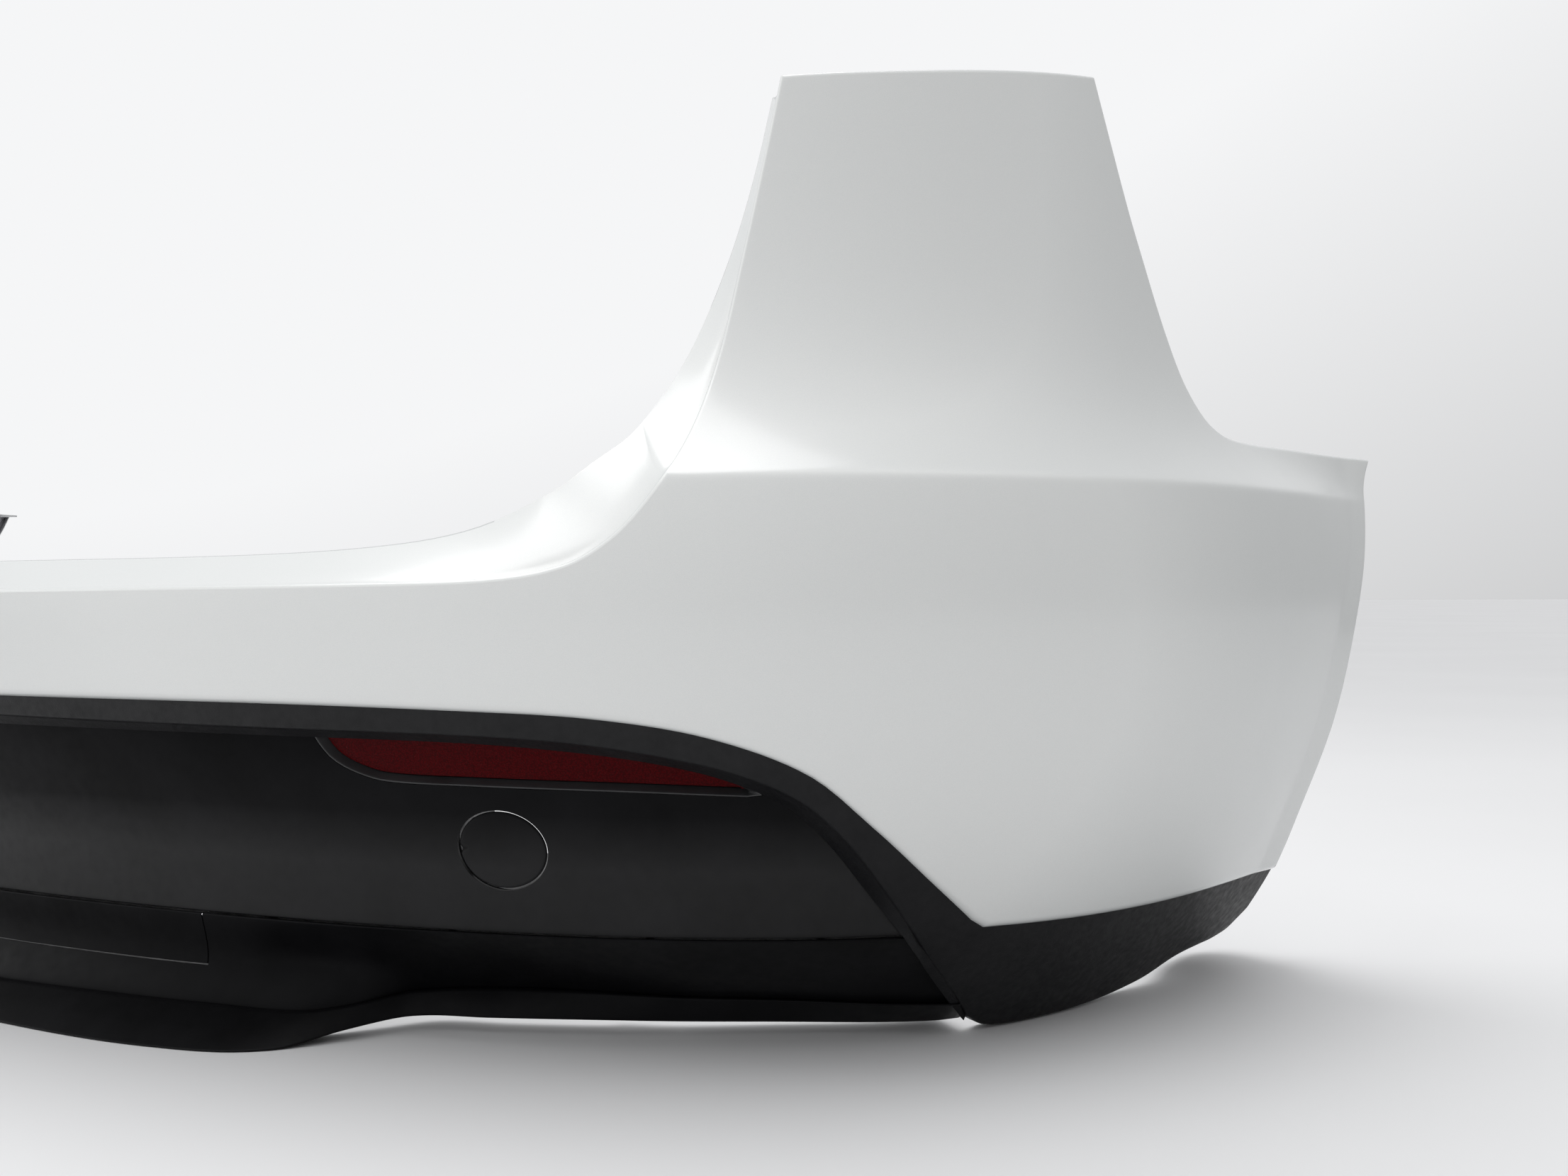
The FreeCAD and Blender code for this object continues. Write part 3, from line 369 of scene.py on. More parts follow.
def sheared(base, z, left, right):
    """Columns s for rows at heights z, stretched so that the ends follow left(z) and right(z)."""
    s = np.repeat(base[None], z.shape[0], axis=0)
    if left is not None:
        edge = left(z)
        share = (base - base[0]) / (STILL_FROM - base[0])
        s = np.where(base < STILL_FROM, edge + (STILL_FROM - edge) * share, s)
    edge = right(z)
    share = (base - STILL_TO) / (base[-1] - STILL_TO)
    return np.where(base > STILL_TO, STILL_TO + (edge - STILL_TO) * share, s)


def skin_outline_parts():
    """The flat nets of the right half: under the crease, just above it, and the tower.

    Also gives the columns at which the gate opening and the quarter seam meet the middle net.
    """
    gate = offset(path(GATE_EDGE, 500), -RIM)
    gate[0, 0] = 0.0
    crown = offset(path(TOWER_TOP, 200), -RIM)
    seam = offset(path(QUARTER_SEAM, 500), -RIM)
    bottom = np.vstack([path(WHITE_BOTTOM, 300), path(WHITE_TOE, 120)])
    bottom = offset(bottom, LOW_RIM)
    bottom[0, 0] = 0.0
    gate_low = until(gate, gate[:, 1] - CREASE)
    seam_corner = until(seam, SEAM_LEVEL - seam[:, 1])
    gate_top = until(gate, gate[:, 1] - np.interp(gate[:, 0], crown[:, 0], crown[:, 1]))
    seam_top = until(seam[::-1], seam[::-1, 1] - np.interp(seam[::-1, 0], crown[:, 0], crown[:, 1]))

    def arch_edge(z):
        return np.interp(z, ARCH_HEIGHTS, ARCH_REACH) - RIM

    def gate_edge(z):
        return np.interp(z, gate[:, 1], gate[:, 0])

    turn = gate_low[-1, 0]
    corner = seam_corner[-1, 0]
    end = arch_edge(CREASE)
    base = np.concatenate([np.linspace(0, 540, 42), np.linspace(540, turn, 22)[1:],
                           np.linspace(turn, STILL_FROM, 13)[1:],
                           np.linspace(STILL_FROM, corner, 38)[1:],
                           np.linspace(corner, STILL_TO, 4)[1:], np.linspace(STILL_TO, end, 40)[1:]])
    first = int(np.searchsorted(base, turn - 0.01))
    last = int(np.searchsorted(base, corner - 0.01))

    top = np.where(base <= turn + 0.01, np.interp(base, gate_low[:, 0], gate_low[:, 1]), CREASE)
    low = np.interp(base, bottom[:, 0], bottom[:, 1])
    v = 1 - (1 - np.linspace(0, 1, 62)) ** 2.1
    rows_z = low + (top - low) * v[:, None]
    under = np.stack([sheared(base, rows_z, None, arch_edge), rows_z], -1)

    upper = base[first:]
    low_seam = seam[seam[:, 1] <= SEAM_LEVEL]
    top = np.where(upper <= corner + 0.01, SEAM_LEVEL,
                   np.interp(upper, low_seam[:, 0], low_seam[:, 1]))
    v = np.linspace(0, 1, 26) ** 1.8
    rows_z = CREASE + (top - CREASE) * v[:, None]
    above = np.stack([sheared(upper, rows_z, gate_edge, arch_edge), rows_z], -1)

    foot = above[-1, :last - first + 1]
    left = gate_top[gate_top[:, 1] > SEAM_LEVEL]
    left = resample(np.vstack([foot[:1], left]), 46)
    right = resample(np.vstack([foot[-1:], seam_top[seam_top[:, 1] > SEAM_LEVEL]]), 46)
    share = (foot[:, 0] - foot[0, 0]) / (foot[-1, 0] - foot[0, 0])
    crown = crown[(crown[:, 0] > left[-1, 0]) & (crown[:, 0] < right[-1, 0])]
    crown = resample(np.vstack([left[-1:], crown, right[-1:]]), share)
    tower = filled(foot, crown, left, right)
    return under, above, tower, first, last - first


def skin_sheet():
    """The painted face with rolled edges, the flange round the gate and the seam shelves."""
    sheet = Sheet()
    under, above, tower, first, last = skin_outline_parts()
    for net in (under, above, tower):
        sheet.add(lift(net, skin_face))
    gate = np.vstack([under[-1, :first + 1], above[1:, 0], tower[1:, 0]])
    outline = np.vstack([gate, tower[-1, 1:], tower[::-1, -1][1:], above[-1, last + 1:],
                         above[::-1, -1][1:], under[::-1, -1][1:], under[0, ::-1][1:]])
    outward = left_normals(outline)
    outward[0] = (0.0, 1.0)
    outward[-1] = (0.0, -1.0)
    rim = np.full(len(outline), RIM)
    rim[-under.shape[1]:] = LOW_RIM
    rows = [lift(outline, skin_face)]
    for angle in ROLL:
        reach = outward * (rim * math.sin(angle))[:, None]
        rows.append(lift(outline + reach, skin_face, rim * (1 - math.cos(angle))))
    edge = rows[-1]

    # The hems behind the outline: short along the bottom, a shelf under each quarter seam.
    target = edge + np.stack([0 * rim, 0 * rim, np.where(outward[:, 0] > 0.7, 7.0, 12.0)], -1)
    target[-under.shape[1]:, 2] = edge[-under.shape[1]:, 2] + 4.0
    seam_shelf = (outline[:, 0] > 1145) & (outline[:, 1] > 430) & (outward[:, 1] > 0.7)
    shelf_depth = 34 - 27 * ease((edge[:, 0] - 1290) / 70)
    shelf = edge + np.stack([0 * rim, 0 * rim - 0.5, shelf_depth], -1)
    target[seam_shelf] = shelf[seam_shelf]

    # The flange round the gate opening: the kink of the crease fades out on the way to its back edge.
    count = int(np.argmax(gate[:, 1] > FLANGE_BACK[-1][1] - 2.0))
    steps = np.linalg.norm(np.diff(gate[:count], axis=0), axis=1)
    along = np.concatenate([[0.0], np.cumsum(steps)])
    target[:count] = resample(path(FLANGE_BACK, 600), along / along[-1])
    calm = edge.copy()
    for _ in range(60):
        calm[1:count - 1] = (calm[:count - 2] + 2 * calm[1:count - 1] + calm[2:count]) / 4
    for part in (0.06, 0.10, 0.14, 0.22, 0.32, 0.5, 0.7, 0.86, 0.96, 1.0):
        rows.append(calm + (target - calm) * part + (edge - calm) * (1 - part) ** 6)

    # Its back edge turns down, with a level lip across the sill.
    roll = target.copy()
    fade = 1 - ease((outline[:, 0] - 330) / 240)
    roll[:count] += np.stack([0 * fade, 0.4 * fade - 0.8, 3 + 20 * fade], -1)[:count]
    roll[count:] += [0.0, 0.0, 1.0]
    rows.append(roll)
    sheet.add(np.stack(rows))
    return sheet


# ---------------------------------------------------------------- black surround

def bevel_floor(s, z):
    """Depth at which the inner bevel ends: on the valance, or near the lower valance below it."""
    low = through([(14, 103), (35, 93), (57, 80), (76, 60), (88, 54)], z)
    return np.where(z >= 88, valance_depth(s, z) - 3.2, low)


def surround_sheet():
    """Arched band with its inner bevel, running down into the corner skirt."""
    sheet = Sheet()
    band, skirt = 240, 130
    top = np.vstack([path(SURROUND_TOP[:-1] + [(862, 104)], band),
                     path([(862, 104), (1000, 105), (1225, 105), (1288, 92)], skirt)[1:]])
    bottom = np.vstack([path(BEVEL_OUTER[:-1] + SKIRT_TOE[:1], band), path(SKIRT_TOE, skirt)[1:]])
    small = 2.2
    radius = small + 13.0 * ease((bottom[:, :1] - 1120) / 110)
    down = -left_normals(bottom)
    down[0] = (0.0, -1.0)
    bottom = bottom - down * (radius - small)
    across = np.concatenate([np.linspace(0, 0.12, 3), np.linspace(0.2, 1, 12)])[:, None, None]
    face = bottom[None] + (top - bottom)[None] * across
    sheet.add(lift(face, surround_depth))
    rows = [lift(bottom, surround_depth)]
    for angle in np.radians([18.0, 36.0, 54.0, 72.0, 90.0]):
        rows.append(lift(bottom + down * radius * math.sin(angle), surround_depth,
                         1.3 * radius[:, 0] * (1 - math.cos(angle))))
    edge = rows[-1]
    target = edge + [0.0, 0.0, 12.0]
    inner = path(BEVEL_INNER[:-1] + [(866, 12)], band)
    inner[0, 0] = 0.0
    target[:band] = lift(inner, bevel_floor)
    for part in (0.1, 0.3, 0.5, 0.7, 0.9, 1.0):
        rows.append(edge + (target - edge) * part)
    sheet.add(np.stack(rows))
    hem = [lift(top, surround_depth), lift(top, surround_depth, 8.0)]
    sheet.add(np.stack(hem))
    return sheet


# ---------------------------------------------------------------- valance

def valance_sheet():
    """The recessed panel above the split line, with its level shelf."""
    sheet = Sheet()
    s = np.concatenate([np.linspace(0, 300, 24), np.linspace(300, 795, 66)[1:]])
    top = through(VALANCE_EDGE, s)
    foot = np.full_like(s, SPLIT_TOP)
    soft = SPLIT_SOFTNESS
    rows = [np.stack([s, foot, valance_depth(s, foot) + SHELF_DEPTH], -1),
            np.stack([s, foot, valance_depth(s, foot) + soft], -1)]
    for angle in (67.5, 45.0, 22.5, 0.0):
        turn = math.radians(angle)
        z = foot + soft * (1 - math.sin(turn))
        rows.append(np.stack([s, z, valance_depth(s, z) + soft * (1 - math.cos(turn))], -1))
    start = rows[-1][:, 1]
    for part in np.linspace(0, 1, 34)[1:]:
        z = start + (top - start) * part
        rows.append(np.stack([s, z, valance_depth(s, z)], -1))
    sheet.add(np.stack(rows))
    return sheet


def valance_frame(s, z):
    """Position, outward normal, sideways and upward directions on the valance, in metres."""
    def spot(ds, dz):
        point = np.array([s + ds, z + dz])
        return place(lift(point, valance_depth))

    sideways = spot(2, 0) - spot(-2, 0)
    upward = spot(0, 2) - spot(0, -2)
    normal = np.cross(sideways, upward)
    normal /= np.linalg.norm(normal)
    sideways /= np.linalg.norm(sideways)
    return spot(0, 0), normal, sideways, np.cross(normal, sideways)


def reflector_outline(side, shrink, count=60):
    """Lower and upper edges of the reflector, from the inboard end to the tip, as (s, z)."""
    lower = path(REFLECTOR[:8], count)
    upper = np.vstack([path(REFLECTOR[7:], count), path([REFLECTOR[-1], REFLECTOR[0]], 20)[1:]])
    ring = np.vstack([lower, upper[1:-1]])
    inward = left_normals(ring, closed=True)
    ring = ring + inward * shrink
    lower = ring[:count]
    upper = resample(np.vstack([ring[count - 1:], ring[:1]])[::-1], count)
    return lower * [side, 1], upper * [side, 1]


def reflector_net(side, shrink, extra, rows=9):
    lower, upper = reflector_outline(side, shrink)
    share = np.linspace(0, 1, rows)[:, None, None]
    return lift(lower[None] + (upper - lower)[None] * share, valance_depth, extra)


def reflector_ring(side, shrink, extra):
    lower, upper = reflector_outline(side, shrink)
    return lift(np.vstack([lower, upper[::-1][1:-1]]), valance_depth, extra)


def lens_sheet(side):
    sheet = Sheet()
    sheet.add(reflector_net(side, 3.4, 6.0))
    return sheet


def housing_sheet(side):
    """The sloped pocket wall round the lens and the floor behind it."""
    sheet = Sheet()
    steps = ((-3.1, 3.4), (-3.1, 0.9), (-2.8, 0.3), (-2.2, 0.1), (-1.7, 0.4), (-1.2, 1.4),
             (2.4, 6.2), (3.0, 8.0), (3.2, 12.0))
    rings = [reflector_ring(side, shrink, extra) for shrink, extra in steps]
    sheet.add(np.stack(rings), around=True)
    sheet.add(reflector_net(side, 3.2, 12.0, 5))
    return sheet


def hole_cutter(rings, name):
    """A closed block that is subtracted from a panel."""
    sheet = Sheet()
    sheet.add(None, around=True, positions=np.stack(rings))
    for ring in (rings[0], rings[-1]):
        sheet.cap(ring)
    work = bmesh.new()
    points, quads = np.vstack(sheet.points), np.vstack(sheet.quads)
    corners = [work.verts.new(point) for point in points]
    for quad in quads:
        work.faces.new([corners[i] for i in dict.fromkeys(int(i) for i in quad)])
    bmesh.ops.remove_doubles(work, verts=work.verts, dist=1e-6)
    bmesh.ops.recalc_face_normals(work, faces=work.faces)
    mesh = bpy.data.meshes.new(name)
    work.to_mesh(mesh)
    work.free()
    cutter = bpy.data.objects.new(name, mesh)
    bpy.context.scene.collection.objects.link(cutter)
    return cutter


def valance_cutters():
    """Blocks for the two reflector apertures and the towing-eye hole."""
    cutters = []
    for side in (-1, 1):
        rings = [place(reflector_ring(side, -3.2, extra)) for extra in (-30.0, 30.0)]
        cutters.append(hole_cutter(rings, "aperture"))
    centre, normal, sideways, upward = valance_frame(TOW_S, TOW_Z)
    turn = np.linspace(0, 2 * np.pi, 96, endpoint=False)[:, None]
    tall = (TOW_RADIUS * TOW_SQUASH + TOW_GAP) / 1000
    circle = np.cos(turn) * sideways * (TOW_RADIUS + TOW_GAP) / 1000 + np.sin(turn) * upward * tall
    rings = [centre + circle + normal * reach for reach in (0.03, -0.03)]
    cutters.append(hole_cutter(rings, "tow_bore"))
    return cutters


def tow_cover_sheet():
    """Round cover with a rolled rim, a thumb notch on its inboard side and two hooks behind."""
    sheet = Sheet()
    centre, normal, sideways, upward = valance_frame(TOW_S, TOW_Z)
    step = place(lift(np.array([[TOW_S + 1, TOW_Z]]), valance_depth))[0] - centre
    per_s = np.linalg.norm(step) * 1000
    turn = np.linspace(0, 2 * np.pi, 96, endpoint=False)
    notch = np.exp(-((turn - np.pi) / 0.07) ** 4)
    profile = [(0.02, 0.0), (8.0, 0.0), (16.0, 0.0), (24.0, 0.0), (30.2, 0.0), (31.6, 0.25), (32.5, 0.8),
               (33.0, 1.7), (33.0, 2.5), (31.5, 2.6), (20.0, 2.6), (0.02, 2.6)]
    rows = []
    for radius, drop in profile:
        reach = radius - notch * 2.2 * (radius > 31)
        s = TOW_S + reach * np.cos(turn) / per_s
        z = TOW_Z + reach * np.sin(turn) * upward[2] * TOW_SQUASH
        rows.append(lift(np.stack([s, z], -1), valance_depth, drop))
    sheet.add(np.stack(rows), around=True)
    for height in (-14.0, 14.0):
        corner = centre - sideways * 0.025 + upward * (height - 5.0) / 1000 - normal * 0.0022
        block(sheet, corner, sideways * 0.002, upward * 0.010, normal * -0.0105)
    return sheet


def block(sheet, corner, first, second, third):
    """A box given by one corner and its three sides."""
    base = [corner, corner + first, corner + first + second, corner + second]
    rings = [np.array(base), np.array(base) + third]
    sheet.add(None, around=True, positions=np.stack(rings))
    for ring in rings:
        sheet.cap(ring)


# ---------------------------------------------------------------- lower valance, hitch cover and lip

HITCH_HALF, HITCH_LOW, HITCH_GAP = 205.0, 46.0, 1.0


def lower_depth(s, z):
    """Depth of the lower valance between its tail and the split line, column by column."""
    depth = np.empty_like(z)
    for k in range(z.shape[1]):
        place_s = abs(s[0, k])
        step_z, step_in = float(through(STEP_LINE, place_s)), float(through(STEP_LINE, place_s, 2))
        lip_z, lip_in = float(through(LIP_LINE, place_s)), float(through(LIP_LINE, place_s, 2))
        belly_z, belly_in = float(through(BELLY_LINE, place_s)), float(through(BELLY_LINE, place_s, 2))
        behind = step_in + (lip_in - step_in) * 6.0 / (step_z - lip_z)
        knots = [(step_z - 6.0, max(step_in + 3.0, behind + 4.0)), (step_z, step_in + 2.5),
                 (belly_z, belly_in), (SPLIT_BOTTOM, float(valance_depth(place_s, 88.0)))]
        depth[:, k] = through(knots, z[:, k])
    return depth


def lower_net(s_of, z_rows):
    """A net of the lower valance; z_rows(s) gives the heights of each column."""
    z = np.stack([z_rows(column) for column in s_of], 1)
    s = np.repeat(s_of[None], z.shape[0], axis=0)
    return s, z


def split_edge(s, depth):
    """Rows that roll the top edge over into the level shelf at the split line."""
    soft = SPLIT_SOFTNESS
    rows = []
    for angle in (22.5, 45.0, 67.5, 90.0):
        turn = math.radians(angle)
        z = np.full_like(s, SPLIT_BOTTOM - soft * (1 - math.sin(turn)))
        rows.append(np.stack([s, z, depth + soft * (1 - math.cos(turn))], -1))
    rows.append(np.stack([s, np.full_like(s, SPLIT_BOTTOM), depth + SHELF_DEPTH], -1))
    return rows


def upper_heights():
    return np.linspace(HITCH_LOW, SPLIT_BOTTOM - SPLIT_SOFTNESS, 16)


def tail_heights(s):
    return np.linspace(float(through(STEP_LINE, s)) - 5.5, HITCH_LOW, 9)


def lower_valance_sheet():
    """The panel under the split line, with ledge and jambs round the hitch window."""
    sheet = Sheet()
    centre = np.linspace(0, HITCH_HALF, 18)
    outer = np.concatenate([np.linspace(HITCH_HALF, 300, 12), np.linspace(300, 380, 16)[1:],
                            np.linspace(380, 843, 44)[1:]])
    s, z = lower_net(centre, tail_heights)
    face = np.stack([s, z, lower_depth(s, z)], -1)
    sheet.add(face)
    sheet.add(np.stack([face[-1], face[-1] + [0.0, 0.0, JAMB_DEPTH]]))

    def full_heights(column):
        return np.concatenate([tail_heights(column), upper_heights()[1:]])

    s, z = lower_net(outer, full_heights)
    depth = lower_depth(s, z)
    edge = np.array(LOWER_EDGE, float)
    ends = np.interp(z, edge[:, 1], edge[:, 0])
    still = 700.0
    share = (s - still) / (outer[-1] - still)
    s = np.where(s > still, still + (ends - still) * share, s)
    face = np.stack([s, z, depth], -1)
    sheet.add(face)
    jamb = face[8:, 0]
    sheet.add(np.stack([jamb, jamb + [0.0, 0.0, JAMB_DEPTH]]))
    rows = [face[-1]] + split_edge(face[-1, :, 0], face[-1, :, 2])
    sheet.add(np.stack(rows))
    return sheet


def hitch_cover_sheet():
    """The removable face of the hitch window, 1 mm clear of it at the sides and below."""
    sheet = Sheet()
    heights = np.linspace(HITCH_LOW + HITCH_GAP, SPLIT_BOTTOM - SPLIT_SOFTNESS, 16)
    s, z = np.meshgrid(np.linspace(0, HITCH_HALF - HITCH_GAP, 20), heights)
    face = np.stack([s, z, lower_depth(s, z)], -1)
    sheet.add(face)
    rows = [face[-1]] + split_edge(face[-1, :, 0], face[-1, :, 2])[:-1]
    rows.append(rows[-1] + [0.0, 0.0, 6.0])
    sheet.add(np.stack(rows))
    return sheet


def softened(corners, cuts):
    """A closed flat section whose corners are rounded by short curves."""
    corners = [np.array(corner, float) for corner in corners]
    points = []
    for i, corner in enumerate(corners):
        before, after = corners[i - 1], corners[(i + 1) % len(corners)]
        back = before - corner
        ahead = after - corner
        start = corner + back / np.linalg.norm(back) * cuts[i]
        end = corner + ahead / np.linalg.norm(ahead) * cuts[i]
        for part in (0.0, 0.25, 0.5, 0.75, 1.0):
            points.append(start * (1 - part) ** 2 + corner * 2 * part * (1 - part) + end * part ** 2)
    return np.array(points)


def lip_sheet():
    """The stepped lip: outer face, rolled lower edge and level flange."""
    sheet = Sheet()
    columns = np.concatenate([np.linspace(0, 260, 30), np.linspace(260, 400, 40)[1:],
                              np.linspace(400, 874, 62)[1:]])
    rings = []
    for s in columns:
        step_z, step_in = float(through(STEP_LINE, s)), float(through(STEP_LINE, s, 2)) - 3.0
        lip_z, lip_in = max(0.0, float(through(LIP_LINE, s))), float(through(LIP_LINE, s, 2))
        corner = lip_in + (step_in - lip_in) * 2.5 / (step_z - lip_z) + 4.0
        section = softened([(step_in, step_z), (lip_in, lip_z), (lip_in + 40, lip_z),
                            (lip_in + 40, lip_z + 2.5), (corner, lip_z + 2.5),
                            (step_in + 4.0, step_z)], (2.4, 3.4, 0.5, 0.5, 1.0, 0.8))
        rings.append(np.stack([np.full(len(section), s), section[:, 1], section[:, 0]], -1))
    rings = np.stack(rings)
    sheet.add(rings, around=True)
    sheet.cap(place(rings[-1]))
    return sheet


# ---------------------------------------------------------------- materials

class Finish:
    """A node material built step by step around one Principled shader."""

    def __init__(self, name, rough, metallic=0.0, coat=0.0, specular=0.5, coat_rough=0.05):
        self.material = bpy.data.materials.new(name)
        self.material.use_nodes = True
        self.nodes = self.material.node_tree.nodes
        self.links = self.material.node_tree.links
        self.shader = self.nodes["Principled BSDF"]
        self.shader.inputs["Roughness"].default_value = rough
        self.shader.inputs["Metallic"].default_value = metallic
        self.shader.inputs["Specular IOR Level"].default_value = specular
        self.shader.inputs["Coat Weight"].default_value = coat
        self.shader.inputs["Coat Roughness"].default_value = coat_rough
        self.coordinates = self.nodes.new("ShaderNodeTexCoord").outputs["Object"]
        self.relief = None

    def noise(self, size_mm, detail=3.0):
        """Cloudy noise whose lumps are about size_mm across."""
        node = self.nodes.new("ShaderNodeTexNoise")
        node.inputs["Scale"].default_value = 1000.0 / size_mm
        node.inputs["Detail"].default_value = detail
        self.links.new(self.coordinates, node.inputs["Vector"])
        return node.outputs["Fac"]

    def cells(self, size_mm, feature="F1"):
        node = self.nodes.new("ShaderNodeTexVoronoi")
        node.feature = feature
        node.inputs["Scale"].default_value = 1000.0 / size_mm
        self.links.new(self.coordinates, node.inputs["Vector"])
        return node.outputs["Distance"]

    def levels(self, value, low, high, start, end):
        """Maps a value between low and high onto start to end."""
        node = self.nodes.new("ShaderNodeMapRange")
        for name, number in (("From Min", low), ("From Max", high), ("To Min", start), ("To Max", end)):
            node.inputs[name].default_value = number
        self.links.new(value, node.inputs["Value"])
        return node.outputs["Result"]

    def blend(self, factor, first, second):
        """A colour between two, each a colour or another output."""
        node = self.nodes.new("ShaderNodeMix")
        node.data_type = "RGBA"
        self.links.new(factor, node.inputs[0])
        for socket, colour in ((node.inputs[6], first), (node.inputs[7], second)):
            if isinstance(colour, tuple):
                socket.default_value = (*colour, 1.0)
            else:
                self.links.new(colour, socket)
        return node.outputs[2]

    def sheen_by_height(self, stops):
        """Mirror strength that changes with the height above the floor, in metres: a painted sheen and
        shade set by height, not by the lamps.
        """
        top = stops[-1][0]
        split = self.nodes.new("ShaderNodeSeparateXYZ")
        self.links.new(self.coordinates, split.inputs[0])
        ramp = self.nodes.new("ShaderNodeValToRGB")
        self.links.new(self.levels(split.outputs["Z"], 0.0, top, 0.0, 1.0), ramp.inputs[0])
        elements = ramp.color_ramp.elements
        while len(elements) < len(stops):
            elements.new(1.0)
        for element, (height, strength) in zip(elements, stops):
            element.position = height / top
            element.color = (strength, strength, strength, 1.0)
        self.links.new(ramp.outputs[0], self.shader.inputs["Specular IOR Level"])

    def slant(self, power):
        """How far the surface leans away from the viewer, from 0 to 1."""
        node = self.nodes.new("ShaderNodeLayerWeight")
        node.inputs["Blend"].default_value = power
        return node.outputs["Facing"]

    def colour(self, output):
        self.links.new(output, self.shader.inputs["Base Color"])

    def rough(self, output):
        self.links.new(output, self.shader.inputs["Roughness"])

    def bump(self, height, distance_mm, strength=1.0):
        node = self.nodes.new("ShaderNodeBump")
        node.inputs["Distance"].default_value = distance_mm / 1000
        node.inputs["Strength"].default_value = strength
        self.links.new(height, node.inputs["Height"])
        if self.relief:
            self.links.new(self.relief, node.inputs["Normal"])
        self.relief = node.outputs["Normal"]
        self.links.new(self.relief, self.shader.inputs["Normal"])


def pearl_paint():
    """White pearl with fine flakes under a clear coat, slightly wavy like sprayed paint, darkened by
    painted shade where it turns away from the viewer.
    """
    finish = Finish("pearl_paint", 0.34, coat=1.0, coat_rough=0.17)
    flakes = finish.levels(finish.noise(0.35, 1.0), 0.35, 0.7, 0.0, 1.0)
    face = finish.blend(flakes, (0.80, 0.815, 0.805), (0.86, 0.865, 0.85))
    # Painted shade: the darker edge colour takes over where the surface turns away from the viewer.
    edge = finish.blend(flakes, (0.54, 0.56, 0.56), (0.60, 0.62, 0.61))
    slant = finish.levels(finish.slant(0.5), 0.3, 0.85, 0.0, 1.0)
    finish.colour(finish.blend(slant, face, edge))
    finish.rough(finish.levels(finish.noise(60.0, 4.0), 0.3, 0.7, 0.30, 0.38))
    finish.bump(finish.noise(2.2, 1.0), 0.004, 0.5)
    return finish.material


def grained_black():
    """Unpainted black plastic with a fine leather-like grain and faint scuffs."""
    finish = Finish("grained_black", 0.5, specular=0.24)
    dust = finish.levels(finish.noise(45.0, 5.0), 0.35, 0.75, 0.0, 1.0)
    finish.colour(finish.blend(dust, (0.004, 0.004, 0.005), (0.009, 0.009, 0.010)))
    finish.rough(finish.levels(finish.noise(6.0, 4.0), 0.3, 0.7, 0.42, 0.58))
    finish.bump(finish.cells(1.1), 0.10, 0.55)
    finish.bump(finish.noise(0.6, 2.0), 0.04, 0.5)
    # Painted sheen: the band reflects more the higher it stands, weakest down in the corner skirt.
    finish.sheen_by_height([(0.0, 0.12), (0.10, 0.20), (0.20, 0.24), (0.25, 0.30)])
    return finish.material


def valance_black():
    """Smoother black plastic with a satin sheen and light dust."""
    finish = Finish("valance_black", 0.42, specular=0.32)
    dust = finish.levels(finish.noise(70.0, 6.0), 0.35, 0.75, 0.0, 1.0)
    finish.colour(finish.blend(dust, (0.003, 0.003, 0.0035), (0.007, 0.007, 0.008)))
    finish.rough(finish.levels(finish.noise(9.0, 4.0), 0.3, 0.7, 0.36, 0.48))
    finish.bump(finish.noise(0.8, 2.0), 0.03, 0.4)
    # Painted shade and sheen: weak reflection at the top under the surround and on the lip, strong
    # across the middle of the panel.
    finish.sheen_by_height([(0.0, 0.09), (0.086, 0.06), (0.092, 0.26), (0.135, 0.30), (0.175, 0.08),
                            (0.25, 0.02)])
    return finish.material


def reflector_red():
    """Dark red lens: a clear face over small pyramids, with painted shade in the valleys between them.
    """
    finish = Finish("reflector_red", 0.22, specular=0.05)
    prisms = finish.cells(1.3)
    # Painted shade: the colour darkens in the valleys between the prisms.
    prism_shade = finish.levels(prisms, 0.1, 0.7, 0.0, 1.0)
    finish.colour(finish.blend(prism_shade, (0.085, 0.0006, 0.002), (0.042, 0.0004, 0.001)))
    finish.rough(finish.levels(finish.noise(5.0, 3.0), 0.3, 0.7, 0.18, 0.30))
    finish.bump(prisms, 0.2, 0.4)
    return finish.material


def plain_black(name, rough, light=0.022, spread=1.6):
    """Matte unpainted plastic of the hidden parts, with mould texture."""
    finish = Finish(name, rough)
    patches = finish.levels(finish.noise(30.0, 4.0), 0.3, 0.7, 0.0, 1.0)
    dark = (light, light, light * 1.05)
    finish.colour(finish.blend(patches, dark, tuple(part * spread for part in dark)))
    finish.rough(finish.levels(finish.noise(4.0, 3.0), 0.3, 0.7, rough - 0.06, rough + 0.08))
    finish.bump(finish.noise(0.7, 2.0), 0.03, 0.5)
    return finish.material


def zinc(name, tint, rough):
    """Zinc-coated steel with a faint spangle and dull patches."""
    finish = Finish(name, rough, metallic=0.9)
    spangle = finish.levels(finish.cells(5.0), 0.1, 0.8, 0.0, 1.0)
    finish.colour(finish.blend(spangle, tint, tuple(part * 0.72 for part in tint)))
    finish.rough(finish.levels(finish.noise(12.0, 5.0), 0.3, 0.7, rough - 0.08, rough + 0.12))
    finish.bump(finish.noise(0.5, 2.0), 0.02, 0.4)
    return finish.material


def studio_grey(name, shade):
    """The pale ground, with a trace of unevenness."""
    finish = Finish(name, 0.65)
    stains = finish.levels(finish.noise(900.0, 3.0), 0.3, 0.7, 0.0, 1.0)
    finish.colour(finish.blend(stains, tuple(part * 0.97 for part in shade), shade))
    finish.bump(finish.noise(3.0, 2.0), 0.05, 0.2)
    return finish.material


